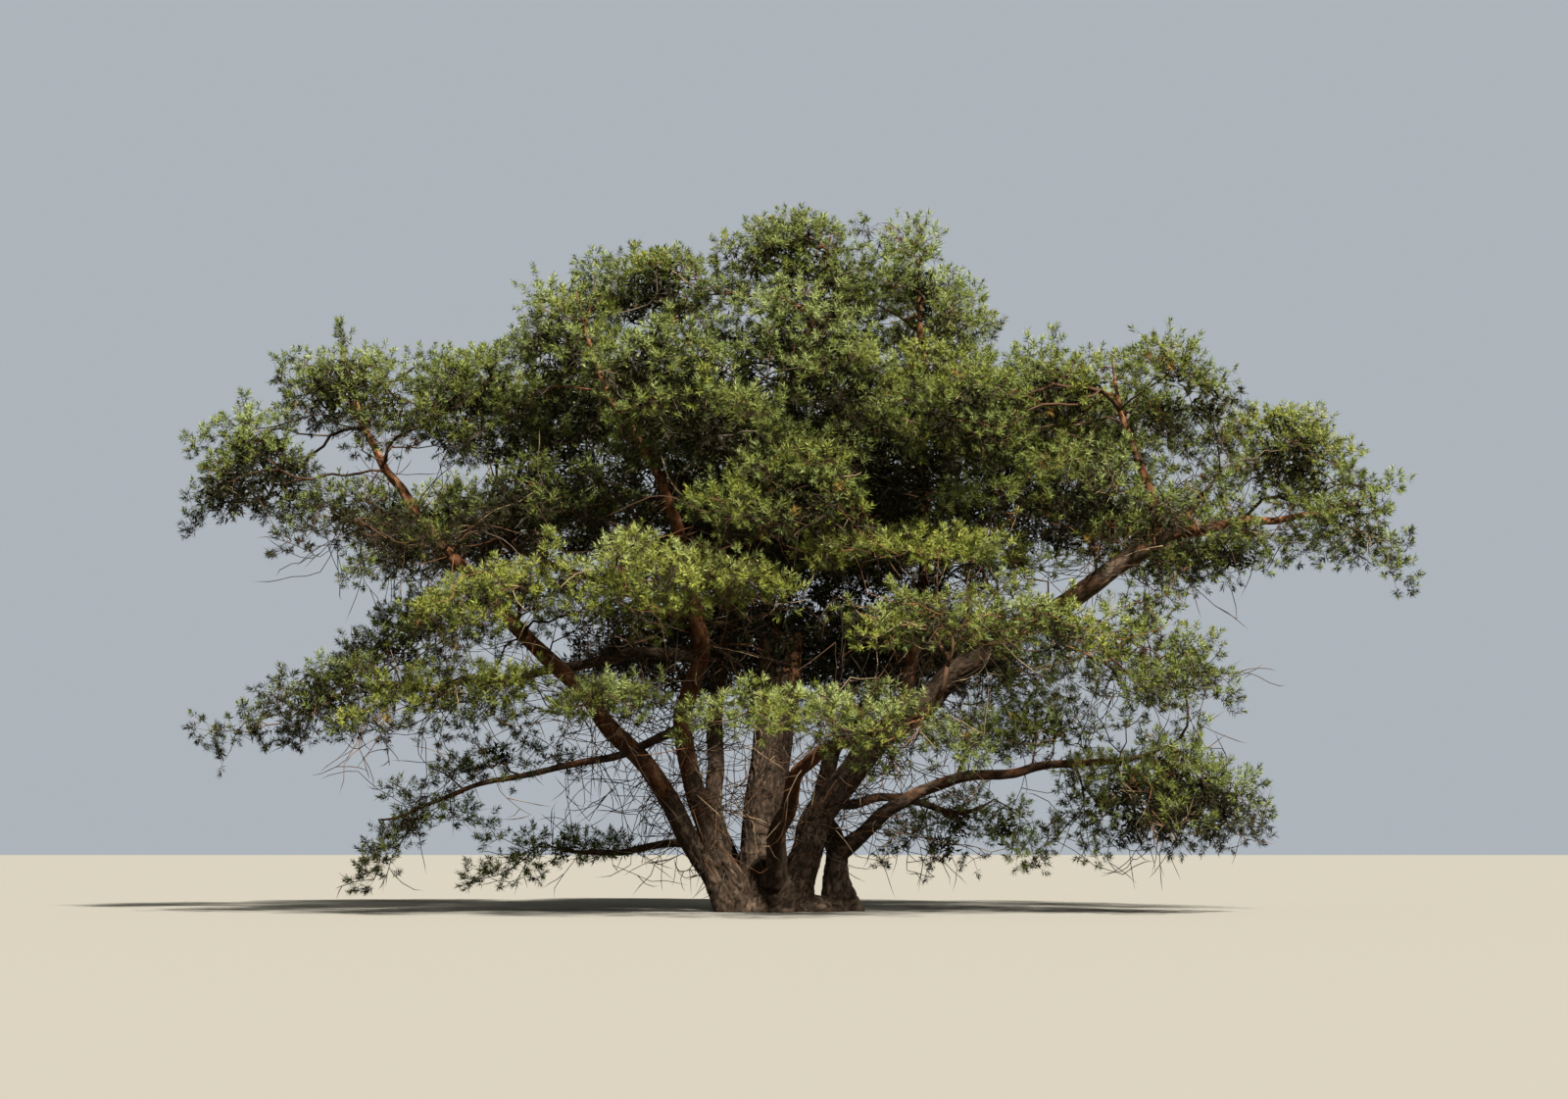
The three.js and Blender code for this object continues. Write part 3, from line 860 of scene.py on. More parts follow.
def bark_material():
    """Grey-brown fissured plates where the bark is old, and flaky orange-brown skin where it is young."""
    n = Nodes("bark")
    place = n.add("ShaderNodeTexCoord").outputs["Object"]
    age, crack, tint, torn = (n.number(name) for name in ("age", "crack", "tint", "torn"))
    coarse = n.noise(place, 5.0)
    fine = n.noise(place, 60.0, 5.0, 0.7)
    speck = n.noise(place, 170.0, 3.0, 0.7)
    mixed = n.math("ADD", n.math("MULTIPLY", tint, 0.55), n.math("MULTIPLY", fine, 0.45))
    old = n.ramp(mixed, *OLD_BARK)
    young = n.ramp(mixed, *YOUNG_BARK)
    how_old = n.math("ADD", age, n.math("MULTIPLY", n.math("SUBTRACT", coarse, 0.5), 0.9))
    skin = n.blend(n.ramp(how_old, (0.32, BLACK), (0.62, WHITE)), young, old)
    grey_patch = n.ramp(n.noise(place, 11.0, 3.0), (0.55, BLACK), (0.72, WHITE))
    skin = n.blend(n.math("MULTIPLY", grey_patch, 0.28), skin, GREY_PATCH)
    skin = n.blend(n.ramp(speck, (0.35, (0.5, 0.5, 0.5)), (0.65, BLACK)), skin, SPECK_COLOUR)
    skin = n.blend(n.ramp(crack, (0.15, BLACK), (0.8, (0.78, 0.78, 0.78))), skin, FISSURE_COLOUR)
    skin = n.blend(torn, skin, n.ramp(fine, *TORN_WOOD))
    n.put(n.shader.inputs["Base Color"], skin)
    n.shader.inputs["Roughness"].default_value = 0.92
    n.shader.inputs["Specular IOR Level"].default_value = 0.25
    height = n.math("ADD", n.math("MULTIPLY", fine, 0.7), n.math("MULTIPLY", speck, 0.3))
    bump = n.add("ShaderNodeBump", None, Strength=0.7, Distance=0.006, Height=height)
    n.put(n.shader.inputs["Normal"], bump.outputs["Normal"])
    return n.material


def plain_material(name, colour, roughness, specular=0.3):
    """One plain colour, which is dealt out by twig or by spray."""
    n = Nodes(name)
    n.shader.inputs["Base Color"].default_value = (*colour, 1)
    n.shader.inputs["Roughness"].default_value = roughness
    n.shader.inputs["Specular IOR Level"].default_value = specular
    return n.material


# Plain needle colours. The silver one is a painted highlight for sunny clump tops, and the deep and umber
# ones are painted shade for shaded feet and tangles; the others differ in hue
NEEDLE_COLOURS = {
    "needles_silver_highlight": (0.40, 0.46, 0.18),
    "needles_blue_green": (0.215, 0.265, 0.078),
    "needles_green": (0.185, 0.215, 0.042),
    "needles_leaf_green": (0.28, 0.315, 0.058),
    "needles_yellow": (0.43, 0.45, 0.12),
    "needles_deep": (0.041, 0.053, 0.014),
    "needles_umber": (0.029, 0.026, 0.011),
    "needles_old": (0.30, 0.19, 0.055),
}
NEEDLE_NAMES = list(NEEDLE_COLOURS)
# Each kind of clump's colours in steps of painted light and shade, from a painted highlight at its sunny top
# to painted shade at its foot; the shaded kind is all painted shade
LADDERS = {
    "blue": ("silver_highlight", "silver_highlight", "blue_green", "blue_green", "green", "deep", "umber"),
    "green": ("silver_highlight", "leaf_green", "green", "blue_green", "green", "deep", "umber"),
    "leaf": ("silver_highlight", "yellow", "leaf_green", "leaf_green", "green", "deep", "umber"),
    "shaded": ("deep", "umber", "umber"),
}
# How yellow a clump is where its neighbours are, and how much painted shade it gets by its place: more under
# a mass, less high in it
MOOD_RATES = (1.1, 3.7)
MOOD_SHARE = 0.6
YELLOW_MOOD = 0.45
YELLOW_WOBBLE = 0.13
LEAF_YELLOW = 0.62
GREEN_YELLOW = 0.36
UNDERSIDE_SHADE = 1.8
MIDDLE_SHADE = 0.6
HEIGHT_SHADE = 1.2
SHADE_RANGE = (-0.8, 3.4)
SHADE_WOBBLE = 0.35
# How much painted shade a shoot gets low in its clump, how much more its foot gets, and how many have gone
# rusty
LOW_SHADE = 1.9
SHOOT_WOBBLE = 0.7
OLD_SHARE = 0.006
FOOT_SHADE = 1.4
FOOT_SHARE = 0.42

TWIG_COLOURS = {
    "twig_orange": (0.27, 0.125, 0.06),
    "twig_brown": (0.12, 0.065, 0.038),
    "twig_grey": (0.17, 0.135, 0.10),
    "twig_pale": (0.46, 0.33, 0.20),
    "twig_dark": (0.045, 0.030, 0.023),
}
LIVE_SHARES = (0.15, 0.43, 0.16, 0.05, 0.21)
BOUGH_SHARES = (0.14, 0.52, 0.16, 0.0, 0.18)
THICK_BOUGH = 0.008
BARE_SHARES = (0.09, 0.28, 0.12, 0.09, 0.42)


# Where the clumps of shoots go


def mass_shapes():
    """Each mass's solid, as arrays and as a tree to measure from."""
    shapes = {}
    for region, names in REGIONS.items():
        for name in names:
            mesh = frame["nodes"][name].data
            mesh.calc_loop_triangles()
            co = np.empty(len(mesh.vertices) * 3)
            mesh.vertices.foreach_get("co", co)
            co = co.reshape(-1, 3)
            corners = np.empty(len(mesh.loop_triangles) * 3, int)
            mesh.loop_triangles.foreach_get("vertices", corners)
            corners = corners.reshape(-1, 3)
            shapes[name] = {
                "region": region, "low": co.min(0), "high": co.max(0), "co": co, "corners": corners,
                "tree": BVHTree.FromPolygons([Vector(c) for c in co], [tuple(map(int, c)) for c in corners]),
            }
    return shapes


def depth_in(shape, point):
    """How deep the point is inside the mass, or below 0 how far outside."""
    if np.any(point < shape["low"] - 0.01) or np.any(point > shape["high"] + 0.01):
        return -1.0
    distance = shape["tree"].find_nearest(Vector(point))[3]
    leaves_by = shape["tree"].ray_cast(Vector(point), Vector((0, 0, 1)))[1]
    return distance if leaves_by and leaves_by.z > 0 else -distance


def surface_points(shape, rng):
    """Points spread over the mass's surface, with the directions that it faces there."""
    a, b, c = (shape["co"][shape["corners"][:, k]] for k in range(3))
    cross = np.cross(b - a, c - a)
    area = np.linalg.norm(cross, axis=1) / 2
    count = int(area.sum() * CANDIDATES_PER_M2)
    pick = rng.choice(len(area), count, p=area / area.sum())
    r = np.sqrt(rng.random(count))[:, None]
    t = rng.random(count)[:, None]
    points = a[pick] * (1 - r) + b[pick] * r * (1 - t) + c[pick] * r * t
    return points, unit(cross)[pick]


def place_clumps(shapes):
    """Spreads clumps under every mass's surface, fewer below it and few where masses meet."""
    rng = np.random.default_rng([SEED, 1])
    clear_low, clear_high = np.array(CLEARING)
    clumps = []
    centres = np.empty((0, 3))
    radii = np.empty(0)
    for name, shape in shapes.items():
        fullness = FULLNESS.get(name, 1.0)
        middle = (shape["low"][2] + shape["high"][2]) / 2
        widest = THINNEST_SHARE * (shape["high"][2] - middle)
        for point, normal in zip(*surface_points(shape, rng)):
            below = normal[2] < UNDERSIDE_SLOPE
            radius = min(rng.uniform(*CLUMP_RADIUS), widest) * (UNDERSIDE_SIZE if below else 1.0)
            billow = noise.noise(Vector(point) / BILLOW_SIZE)
            proud = rng.random() < PROUD_SHARE and not below and billow > 0
            inset = radius * (PROUD_INSET if proud else rng.uniform(*CLUMP_INSET))
            inset += BILLOW_DEPTH * np.clip(-billow, 0, BILLOW_LIMIT) * (not below)
            centre = point - normal * inset
            chance = rng.random()
            if np.all(centre > clear_low - radius) and np.all(centre < clear_high + radius):
                continue
            gap = CLUMP_GAP * (UNDERSIDE_GAP if below else 1.0) / fullness**GAP_POWER
            if below and chance > UNDERSIDES.get(name, UNDERSIDE_SHARE) * fullness:
                continue
            if len(radii) and np.any(
                np.linalg.norm(centres - centre, axis=1) < gap * (radii + radius)
            ):
                continue
            buried = max(
                (depth_in(other, point) for key, other in shapes.items() if key != name), default=-1.0
            )
            if buried > BURIED_DEPTH and chance > BURIED_SHARE:
                continue
            centres = np.vstack([centres, centre])
            radii = np.append(radii, radius)
            clumps.append({
                "mass": name, "region": shape["region"], "centre": centre, "normal": normal,
                "radius": radius, "below": below or buried > SHADED_DEPTH, "inner": False,
                "leader": normal[2] > LEADER_SLOPE and buried < 0 and rng.random() < LEADER_SHARE
                and point[2] < cad_high[2] - LEADER_ROOM,
                "height": (point[2] - middle) / (shape["high"][2] - middle + 1e-6),
            })
        for spur in SPURS.get(name, []):
            clumps.append({
                "mass": name, "region": shape["region"], "centre": np.array(spur),
                "normal": unit(np.array(spur) - (shape["low"] + shape["high"]) / 2),
                "radius": rng.uniform(*SPUR_RADIUS), "below": False, "inner": False, "leader": False,
                "height": (spur[2] - middle) / (shape["high"][2] - middle),
            })
    return clumps


def place_inner_clumps(shapes):
    """Spreads tangles of dark blades, painted shade for dead twigs and shaded needles, through the middle of
    each mass, and through the crown's hollows.
    """
    rng = np.random.default_rng([SEED, 8])
    clumps = []
    kept = np.empty((0, 3))

    def add_tangles(low, high, gap, region, depth_at, least):
        nonlocal kept
        middle = (low + high) / 2
        for _ in range(int((high - low).prod() * INNER_TRIES_PER_M3)):
            point = low + rng.random(3) * (high - low)
            if len(kept) and np.min(np.linalg.norm(kept - point, axis=1)) < gap:
                continue
            depth = depth_at(point)
            if depth < least:
                continue
            kept = np.vstack([kept, point])
            clumps.append({
                "mass": "", "region": region, "centre": point, "normal": unit(point - middle),
                "radius": rng.uniform(*INNER_RADIUS), "below": False, "inner": True, "leader": False,
                "height": -0.5, "size": np.clip(depth / FULL_TANGLE_DEPTH, *TANGLE_SIZES),
            })

    for name, shape in shapes.items():
        gap = INNER_GAP / FULLNESS.get(name, 1.0) ** INNER_GAP_POWER
        depth = min(INNER_DEPTH, INNER_DEPTH_SHARE * (shape["high"][2] - shape["low"][2]) / 2)
        add_tangles(shape["low"], shape["high"], gap, shape["region"], lambda p: depth_in(shape, p), depth)
    for low, high in np.array(HOLLOWS):
        middle, half = (low + high) / 2, (high - low) / 2
        add_tangles(low, high, HOLLOW_GAP, "back_upper", lambda p: 1 - np.sum(((p - middle) / half) ** 2), 0)
    return clumps


def place_carriers(shapes):
    """Points inside the lower half of each mass, for the boughs that carry its clumps to pass."""
    rng = np.random.default_rng([SEED, 2])
    kept = np.empty((0, 3))
    for shape in shapes.values():
        span = shape["high"] - shape["low"]
        for _ in range(int(span.prod() * CARRIER_TRIES_PER_M3)):
            point = shape["low"] + rng.random(3) * span * np.array([1, 1, CARRIER_HEIGHT])
            if depth_in(shape, point) < CARRIER_DEPTH:
                continue
            if len(kept) and np.min(np.linalg.norm(kept - point, axis=1)) < CARRIER_GAP:
                continue
            kept = np.vstack([kept, point])
    return kept


# How the branches grow


class Branches:
    """Nodes of wood, each with its parent, that twigs grow on from."""

    def __init__(self):
        self.place = np.empty((MOST_NODES, 3))
        self.heading = np.empty((MOST_NODES, 3))
        self.path = np.empty(MOST_NODES)
        self.parent = np.full(MOST_NODES, -1)
        self.flow = np.zeros(MOST_NODES)
        self.region = np.full(MOST_NODES, -1)
        self.bare = np.zeros(MOST_NODES, bool)
        self.count = 0

    def add(self, place, heading, path, parent):
        i = self.count
        self.place[i] = place
        self.heading[i] = heading
        self.path[i] = path
        self.parent[i] = parent
        self.count += 1
        return i

    def best_parent(self, target):
        """The node that reaches the target soonest without a sharp turn or a long way round."""
        n = self.count
        step = target - self.place[:n]
        distance = np.linalg.norm(step, axis=1)
        turn = 1 - np.sum(step * self.heading[:n], axis=1) / np.maximum(distance, 1e-6)
        cost = distance * (1 + TURN_COST * turn) + PATH_COST * self.path[:n]
        cost[distance < NEAREST_START] += NEAR_COST
        return int(np.argmin(cost))

    def grow_to(self, target, arrive, rng):
        """Adds a curved, slightly crooked twig from the best parent to the target, and returns its last
        node."""
        start = self.best_parent(target)
        a = self.place[start]
        reach = np.linalg.norm(target - a)
        way = unit(target - a)
        leave = unit(self.heading[start] * KEPT_HEADING + way)
        steps = max(1, int(round(reach / NODE_STEP)))
        t = (np.arange(1, steps + 1) / steps)[:, None]
        leaving = leave * reach * TWIG_LEAD
        arriving = unit(way + arrive) * reach * TWIG_LEAD
        points = (
            a * (2 * t**3 - 3 * t**2 + 1) + leaving * (t**3 - 2 * t**2 + t)
            + target * (3 * t**2 - 2 * t**3) + arriving * (t**3 - t**2)
        )
        wobble = TWIG_WOBBLE * NODE_STEP * min(MOST_WOBBLE, reach / WOBBLE_REACH)
        points[:-1] += rng.normal(0, wobble, (steps - 1, 3))
        last = start
        before = a
        for p in points:
            gone = np.linalg.norm(p - before)
            last = self.add(p, unit(p - before), self.path[last] + gone, last)
            before = p
        return last


def plant_limbs(branches):
    """Nodes down the middle of each limb, for the first boughs to start from."""
    for name, limb in LIMBS.items():
        if name == "trunk":
            continue
        line = limb_line(limb)
        line, s = even_points(line, NODE_STEP)
        heading = turning_frames(line)[0]
        bare_part = ROOTED_BARE_PART if limb["rooted"] else BARE_PART
        for p, h, share in zip(line, heading, s / s[-1]):
            if share > bare_part and p[2] > LOWEST_BOUGH:
                branches.add(p, h, LIMB_PATH * (1 - share), -1)
            elif p[2] > LOWEST_TWIG:
                branches.add(p, h, BARE_PATH, -1)


def grow_branches(clumps, carriers):
    """Joins every clump to the limbs, through the carriers, nearest to the wood first."""
    rng = np.random.default_rng([SEED, 3])
    branches = Branches()
    plant_limbs(branches)
    roots = branches.count
    wood = branches.place[:roots].copy()

    def from_wood(p):
        return np.min(np.linalg.norm(wood - p, axis=1))

    for p in sorted(carriers, key=from_wood):
        branches.grow_to(p, np.array([0, 0, CARRIER_RISE]), rng)
    for clump in sorted(clumps, key=lambda c: from_wood(c["centre"])):
        spread = clump["normal"] * CLUMP_SPREAD
        rise = HANGING_RISE if clump["below"] else CLUMP_RISE
        aim = unit(spread + np.array([0, 0, rise]) + rng.normal(0, AIM_WOBBLE, 3))
        base = clump["centre"] - aim * clump["radius"] * BASE_BELOW
        last = branches.grow_to(base, aim * ARRIVING, rng)
        clump["axis"] = unit(aim + AXIS_BEND * branches.heading[last])
        clump["base"] = base
        clump["node"] = last
    return branches, roots


def grow_bare_twigs(branches, roots):
    """Dead sprays low on the limbs and along the lower boughs."""
    rng = np.random.default_rng([SEED, 4])
    live = branches.count
    low = np.flatnonzero(branches.path[:roots] == BARE_PATH)
    place = branches.place[:live]
    under = np.flatnonzero((place[:, 2] < HIGHEST_BARE) & (np.abs(place[:, 0]) < WIDEST_BARE))
    picks = np.concatenate([rng.choice(low, LOW_SPRAYS), rng.choice(under, BARE_SPRAYS)])

    def twig(start, heading, steps, forks):
        last = start
        bend = rng.normal(0, BARE_BEND, 3)
        for _ in range(steps):
            heading = unit(heading + bend + rng.normal(0, BARE_WOBBLE, 3) + np.array([0, 0, BARE_RISE]))
            p = branches.place[last] + heading * BARE_STEP * rng.uniform(*BARE_STEP_RANGE)
            if p[2] < LOWEST_BARE or np.any(p < cad_low) or np.any(p > cad_high):
                break
            last = branches.add(p, heading, BARE_PATH, last)
            branches.bare[last] = True
            if forks and rng.random() < BARE_FORK_SHARE:
                side = unit(heading + rng.normal(0, BARE_FORK_SPREAD, 3))
                twig(last, side, rng.integers(*BARE_SPRAY_STEPS), forks - 1)
        branches.flow[last] = BARE_FLOW

    for i, start in enumerate(picks):
        heading = unit(rng.normal(0, 1, 3) + BARE_HEADING * branches.heading[start])
        heading[2] = -abs(heading[2]) * BARE_FALL + BARE_LEVEL
        steps = LOW_SPRAY_STEPS if i < LOW_SPRAYS else BARE_SPRAY_STEPS
        twig(start, heading, rng.integers(*steps), BARE_FORKINGS)


def share_flow(branches, clumps):
    """Gives each node the flow of what it feeds, its region and its radius."""
    for clump in clumps:
        branches.flow[clump["node"]] += (clump["radius"] / FLOW_RADIUS) ** 2
        branches.region[clump["node"]] = list(REGIONS).index(clump["region"])
    n = branches.count
    for i in range(n - 1, -1, -1):
        parent = branches.parent[i]
        if branches.flow[i] == 0 and parent >= 0:
            branches.flow[i] = END_FLOW
        if parent >= 0:
            branches.flow[parent] += branches.flow[i]
            if branches.region[parent] < 0:
                branches.region[parent] = branches.region[i]
    low_regions = [list(REGIONS).index(name) for name in ("low_left", "low_right")]
    for i in range(n):
        if branches.region[i] < 0 and branches.parent[i] < 0:
            branches.region[i] = low_regions[int(branches.place[i][0] > 0)]
        if branches.region[i] < 0 and branches.parent[i] >= 0:
            branches.region[i] = branches.region[branches.parent[i]]
    radius = TIP_RADIUS * np.maximum(branches.flow[:n], LEAST_FLOW) ** (1 / PIPE_POWER)
    radius = np.where(branches.bare[:n], np.maximum(radius, DEAD_RADIUS), radius)
    return np.minimum(radius, THICKEST_BOUGH)


class Batch:
    """Triangles gathered for one piece, each with its colour's number."""

    def __init__(self):
        self.vertices = []
        self.triangles = []
        self.colours = []
        self.count = 0

    def add(self, vertices, triangles, colours):
        self.vertices.append(vertices)
        self.triangles.append(triangles + self.count)
        self.colours.append(np.broadcast_to(colours, len(triangles)))
        self.count += len(vertices)

    def piece(self, name, materials, slot, smooth):
        """Joins what was gathered into one mesh object."""
        vertices = np.concatenate(self.vertices)
        triangles = np.concatenate(self.triangles)
        mesh = bpy.data.meshes.new(name)
        mesh.vertices.add(len(vertices))
        mesh.vertices.foreach_set("co", vertices.astype(np.float32).ravel())
        mesh.loops.add(triangles.size)
        mesh.loops.foreach_set("vertex_index", triangles.astype(np.int32).ravel())
        mesh.polygons.add(len(triangles))
        mesh.polygons.foreach_set("loop_start", np.arange(0, triangles.size, 3, dtype=np.int32))
        mesh.polygons.foreach_set("material_index", np.concatenate(self.colours).astype(np.int32))
        mesh.polygons.foreach_set("use_smooth", np.full(len(triangles), smooth))
        for material in materials:
            mesh.materials.append(material)
        mesh.update(calc_edges=True)
        piece = bpy.data.objects.new(name, mesh)
        bpy.context.scene.collection.objects.link(piece)
        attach(piece, "root")
        return piece


def add_tube(batch, points, radii, sides, colour):
    """A closed tube along the points, drawn in to its last point."""
    _, across, beside = turning_frames(points)
    angle = np.arange(sides) * TAU / sides
    ring = across[:, None] * np.cos(angle)[None, :, None] + beside[:, None] * np.sin(angle)[None, :, None]
    rings = points[:, None] + ring * radii[:, None, None]
    vertices = np.concatenate([rings[:-1].reshape(-1, 3), points[:1], points[-1:]])
    k = np.arange(sides)
    after = (k + 1) % sides
    tubes = len(points) - 2
    start = np.arange(tubes)[:, None] * sides
    walls = np.stack([
        np.stack([start + k, start + after, start + sides + after], -1),
        np.stack([start + k, start + sides + after, start + sides + k], -1),
    ]).reshape(-1, 3)
    foot = len(vertices) - 2
    tip = len(vertices) - 1
    closing = np.stack([after, k, np.full(sides, foot)], 1)
    end = tubes * sides
    point = np.stack([end + k, end + after, np.full(sides, tip)], 1)
    batch.add(vertices, np.concatenate([walls, closing, point]), colour)


def build_branches(branches, radius, batches):
    """Tubes along the branches, each running on through its thickest fork."""
    rng = np.random.default_rng([SEED, 5])
    n = branches.count
    children = [[] for _ in range(n)]
    for i in range(n):
        if branches.parent[i] >= 0:
            children[branches.parent[i]].append(i)
    names = list(REGIONS)
    for i in range(n):
        parent = branches.parent[i]
        if parent < 0:
            continue
        if branches.parent[parent] >= 0:
            main = max(children[parent], key=lambda c: branches.flow[c])
            if i == main:
                continue
        chain = [parent, i]
        while children[chain[-1]]:
            chain.append(max(children[chain[-1]], key=lambda c: branches.flow[c]))
        points = branches.place[chain]
        radii = radius[chain].copy()
        radii[0] = radii[1] * FORK_SWELL
        if len(chain) == 2:
            points = np.stack([points[0], points.mean(0), points[1]])
            radii = np.array([radii[0], radii[1], radii[1]])
        thick = radii.max()
        sides = next(count for least, count in TUBE_SIDES if thick > least)
        shares = BOUGH_SHARES if thick > THICK_BOUGH else LIVE_SHARES
        if branches.bare[i]:
            shares = BARE_SHARES
        colour = rng.choice(len(shares), p=shares)
        if branches.region[i] >= 0:
            add_tube(batches[names[branches.region[i]]], points, radii, sides, colour)


# Shoots and their needles


def tilted(turn, tilt):
    """Directions at each turn round +Z, each tilted from it."""
    return np.stack([np.sin(tilt) * np.cos(turn), np.sin(tilt) * np.sin(turn), np.cos(tilt)], 1)


def needle_templates():
    """Needles round a shoot along +Z, two from each place, over a few broad blades of painted shade that
    stand for the shaded
    needles behind them: where each starts, its way, its length and its width, and whether it takes the
    shoot's foot colour, which is painted shade."""
    pairs = NEEDLE_PAIRS
    rng = np.random.default_rng([SEED, 6, pairs])
    templates = []
    for _ in range(TEMPLATES):
        along = (np.arange(pairs) + rng.random(pairs)) / pairs
        turn = np.arange(pairs) * GOLDEN_TURN + rng.normal(0, TURN_WOBBLE, pairs)
        tilt = np.radians(FOOT_TILT - TILT_DROP * along**TILT_POWER) + rng.normal(0, TILT_WOBBLE, pairs)
        long = NEEDLE_LENGTH * rng.uniform(*NEEDLE_LENGTHS, pairs) * (1 - TIP_SHORTENING * along)
        ways = []
        for side in (-1, 1):
            side_turn = turn + side * rng.uniform(*PAIR_TURN, pairs)
            ways.append(tilted(side_turn, tilt + side * rng.uniform(*PAIR_LEAN, pairs)))
        foot = np.stack([np.zeros(pairs), np.zeros(pairs), along * SHOOT_NEEDLED * LAST_NEEDLE], 1)
        heart_turn = (np.arange(HEART_BLADES) + rng.random(HEART_BLADES)) * TAU / HEART_BLADES * HEART_TURNS
        heart_tilt = np.radians(np.linspace(*HEART_TILTS, HEART_BLADES))
        ways.append(tilted(heart_turn, heart_tilt + rng.normal(0, HEART_WOBBLE, HEART_BLADES)))
        heart_foot = np.zeros((HEART_BLADES, 3))
        heart_foot[:, 2] = np.linspace(0, HEART_SPAN, HEART_BLADES) * SHOOT_NEEDLED
        templates.append((
            np.concatenate([foot, foot, heart_foot]),
            np.concatenate(ways),
            np.concatenate([long, long, HEART_LENGTH * rng.uniform(*HEART_LENGTHS, HEART_BLADES)]),
            np.repeat([NEEDLE_WIDTH, HEART_WIDTH], [2 * pairs, HEART_BLADES]),
            np.concatenate([np.tile(along < FOOT_SHARE, 2), np.ones(HEART_BLADES, bool)]),
        ))
    return templates


def tangle_templates():
    """Short dark blades for dead twigs, coloured in painted shade, that cross at random: where each starts,
    its way and its length.
    """
    rng = np.random.default_rng([SEED, 11])
    size = (TEMPLATES, INNER_BLADES, 3)
    feet = rng.normal(0, INNER_SPREAD, size)
    ways = unit(rng.normal(0, 1, size))
    lengths = INNER_LENGTH * rng.uniform(*BLADE_LENGTHS, size[:2])
    widths = np.full(size[:2], INNER_WIDTH)
    return list(zip(feet, ways, lengths, widths, np.zeros(size[:2], bool)))


def clump_shoots(clump, rng):
    """The hubs of one clump, and for each shoot its hub, tip, heading and height in the clump."""
    radius = clump["radius"]
    axis = clump["axis"]
    wanted = max(FEWEST_SHOOTS, int(round(SHOOTS_PER_M2 * radius**2 * rng.uniform(*SHOOT_COUNT_RANGE))))
    if clump["below"]:
        wanted = max(FEWEST_SHOOTS_BELOW, int(wanted * UNDERSIDE_SHOOTS))
    if clump["inner"]:
        wanted = INNER_SHOOTS
    if clump["leader"]:
        return leader_shoots(clump, min(wanted, LEADER_SHOOTS), rng)
    side = unit(np.cross(axis, rng.normal(0, 1, 3)))
    other = np.cross(axis, side)

    def over_cap(count, floor):
        """Directions spread evenly over a cap about the clump's axis, as a sunflower's seeds are."""
        k = np.arange(count) + 0.5
        high = 1 - (1 - floor) * k / count
        turn = k * GOLDEN_TURN + rng.uniform(0, TAU)
        flat = np.sqrt(1 - high**2)[:, None]
        around = side * np.cos(turn)[:, None] + other * np.sin(turn)[:, None]
        return axis * high[:, None] + around * flat

    hub_ways = over_cap(max(FEWEST_HUBS, wanted // SHOOTS_PER_HUB), 0.0)
    hubs = clump["base"] + hub_ways * radius * rng.uniform(*HUB_REACH, len(hub_ways))[:, None]
    ways = unit(over_cap(wanted, CAP_FLOOR) + rng.normal(0, WAY_WOBBLE, (wanted, 3)))
    nearest = np.argmax(ways @ hub_ways.T, axis=1)
    reach = rng.uniform(*SHOOT_REACH, wanted)
    reach = reach * np.where(rng.random(wanted) < LONG_SHOOT_SHARE, LONG_SHOOT_REACH, 1.0)
    tips = clump["base"] + ways * radius * reach[:, None]
    tips[:, 2] = np.clip(tips[:, 2], LOWEST_SHOOT, HIGHEST_SHOOT)
    lift = np.array([0, 0, SHOOT_LIFT_BELOW if clump["below"] else SHOOT_LIFT])
    headings = unit(ways + lift + rng.normal(0, HEADING_WOBBLE, (wanted, 3)))
    return hubs, list(zip(nearest, tips, headings, ways[:, 2]))


def leader_shoots(clump, wanted, rng):
    """The hubs and shoots of an upright leader, whorl above whorl."""
    height = rng.uniform(*LEADER_HEIGHT)
    axis = unit(clump["axis"] + np.array([0, 0, LEADER_RISE]) + rng.normal(0, LEADER_WOBBLE, 3))
    hubs = [clump["base"] + axis * height * share for share in LEADER_WHORLS]
    shoots = []
    for j in range(wanted):
        k = j % len(hubs)
        spread = rng.normal(0, 1, 3) * LEADER_SPREADS[k] * LEADER_SPREAD
        heading = unit(axis + spread + np.array([0, 0, LEADER_LIFT]))
        tip = hubs[k] + heading * rng.uniform(*LEADER_REACH)
        tip[2] = min(tip[2], HIGHEST_SHOOT)
        shoots.append((k, tip, heading, LEADER_WHORLS[k]))
    return hubs, shoots


def ladder_of(clump, rng):
    """The kind of a clump's colours, yellower where its mass and its neighbours are, and its step of painted
    shade.
    """
    coarse, fine = (noise.noise(Vector(clump["centre"]) * rate) for rate in MOOD_RATES)
    yellow = YELLOWNESS.get(clump["mass"], COMMON_YELLOWNESS) + YELLOW_MOOD * (coarse + MOOD_SHARE * fine)
    yellow += rng.normal(0, YELLOW_WOBBLE)
    kind = "leaf" if yellow > LEAF_YELLOW else "green" if yellow > GREEN_YELLOW else "blue"
    # The tangles take only the painted shade colours
    if clump["inner"]:
        return LADDERS["shaded"], 0
    # Painted shade: more under a mass and low in it, less high up, and more or less by mass
    painted_shade = UNDERSIDE_SHADE if clump["below"] else MIDDLE_SHADE - HEIGHT_SHADE * clump["height"]
    painted_shade += PAINTED_SHADE_BY_MASS.get(clump["mass"], 0.0)
    return LADDERS[kind], float(np.clip(painted_shade, *SHADE_RANGE)) + rng.normal(0, SHADE_WOBBLE)


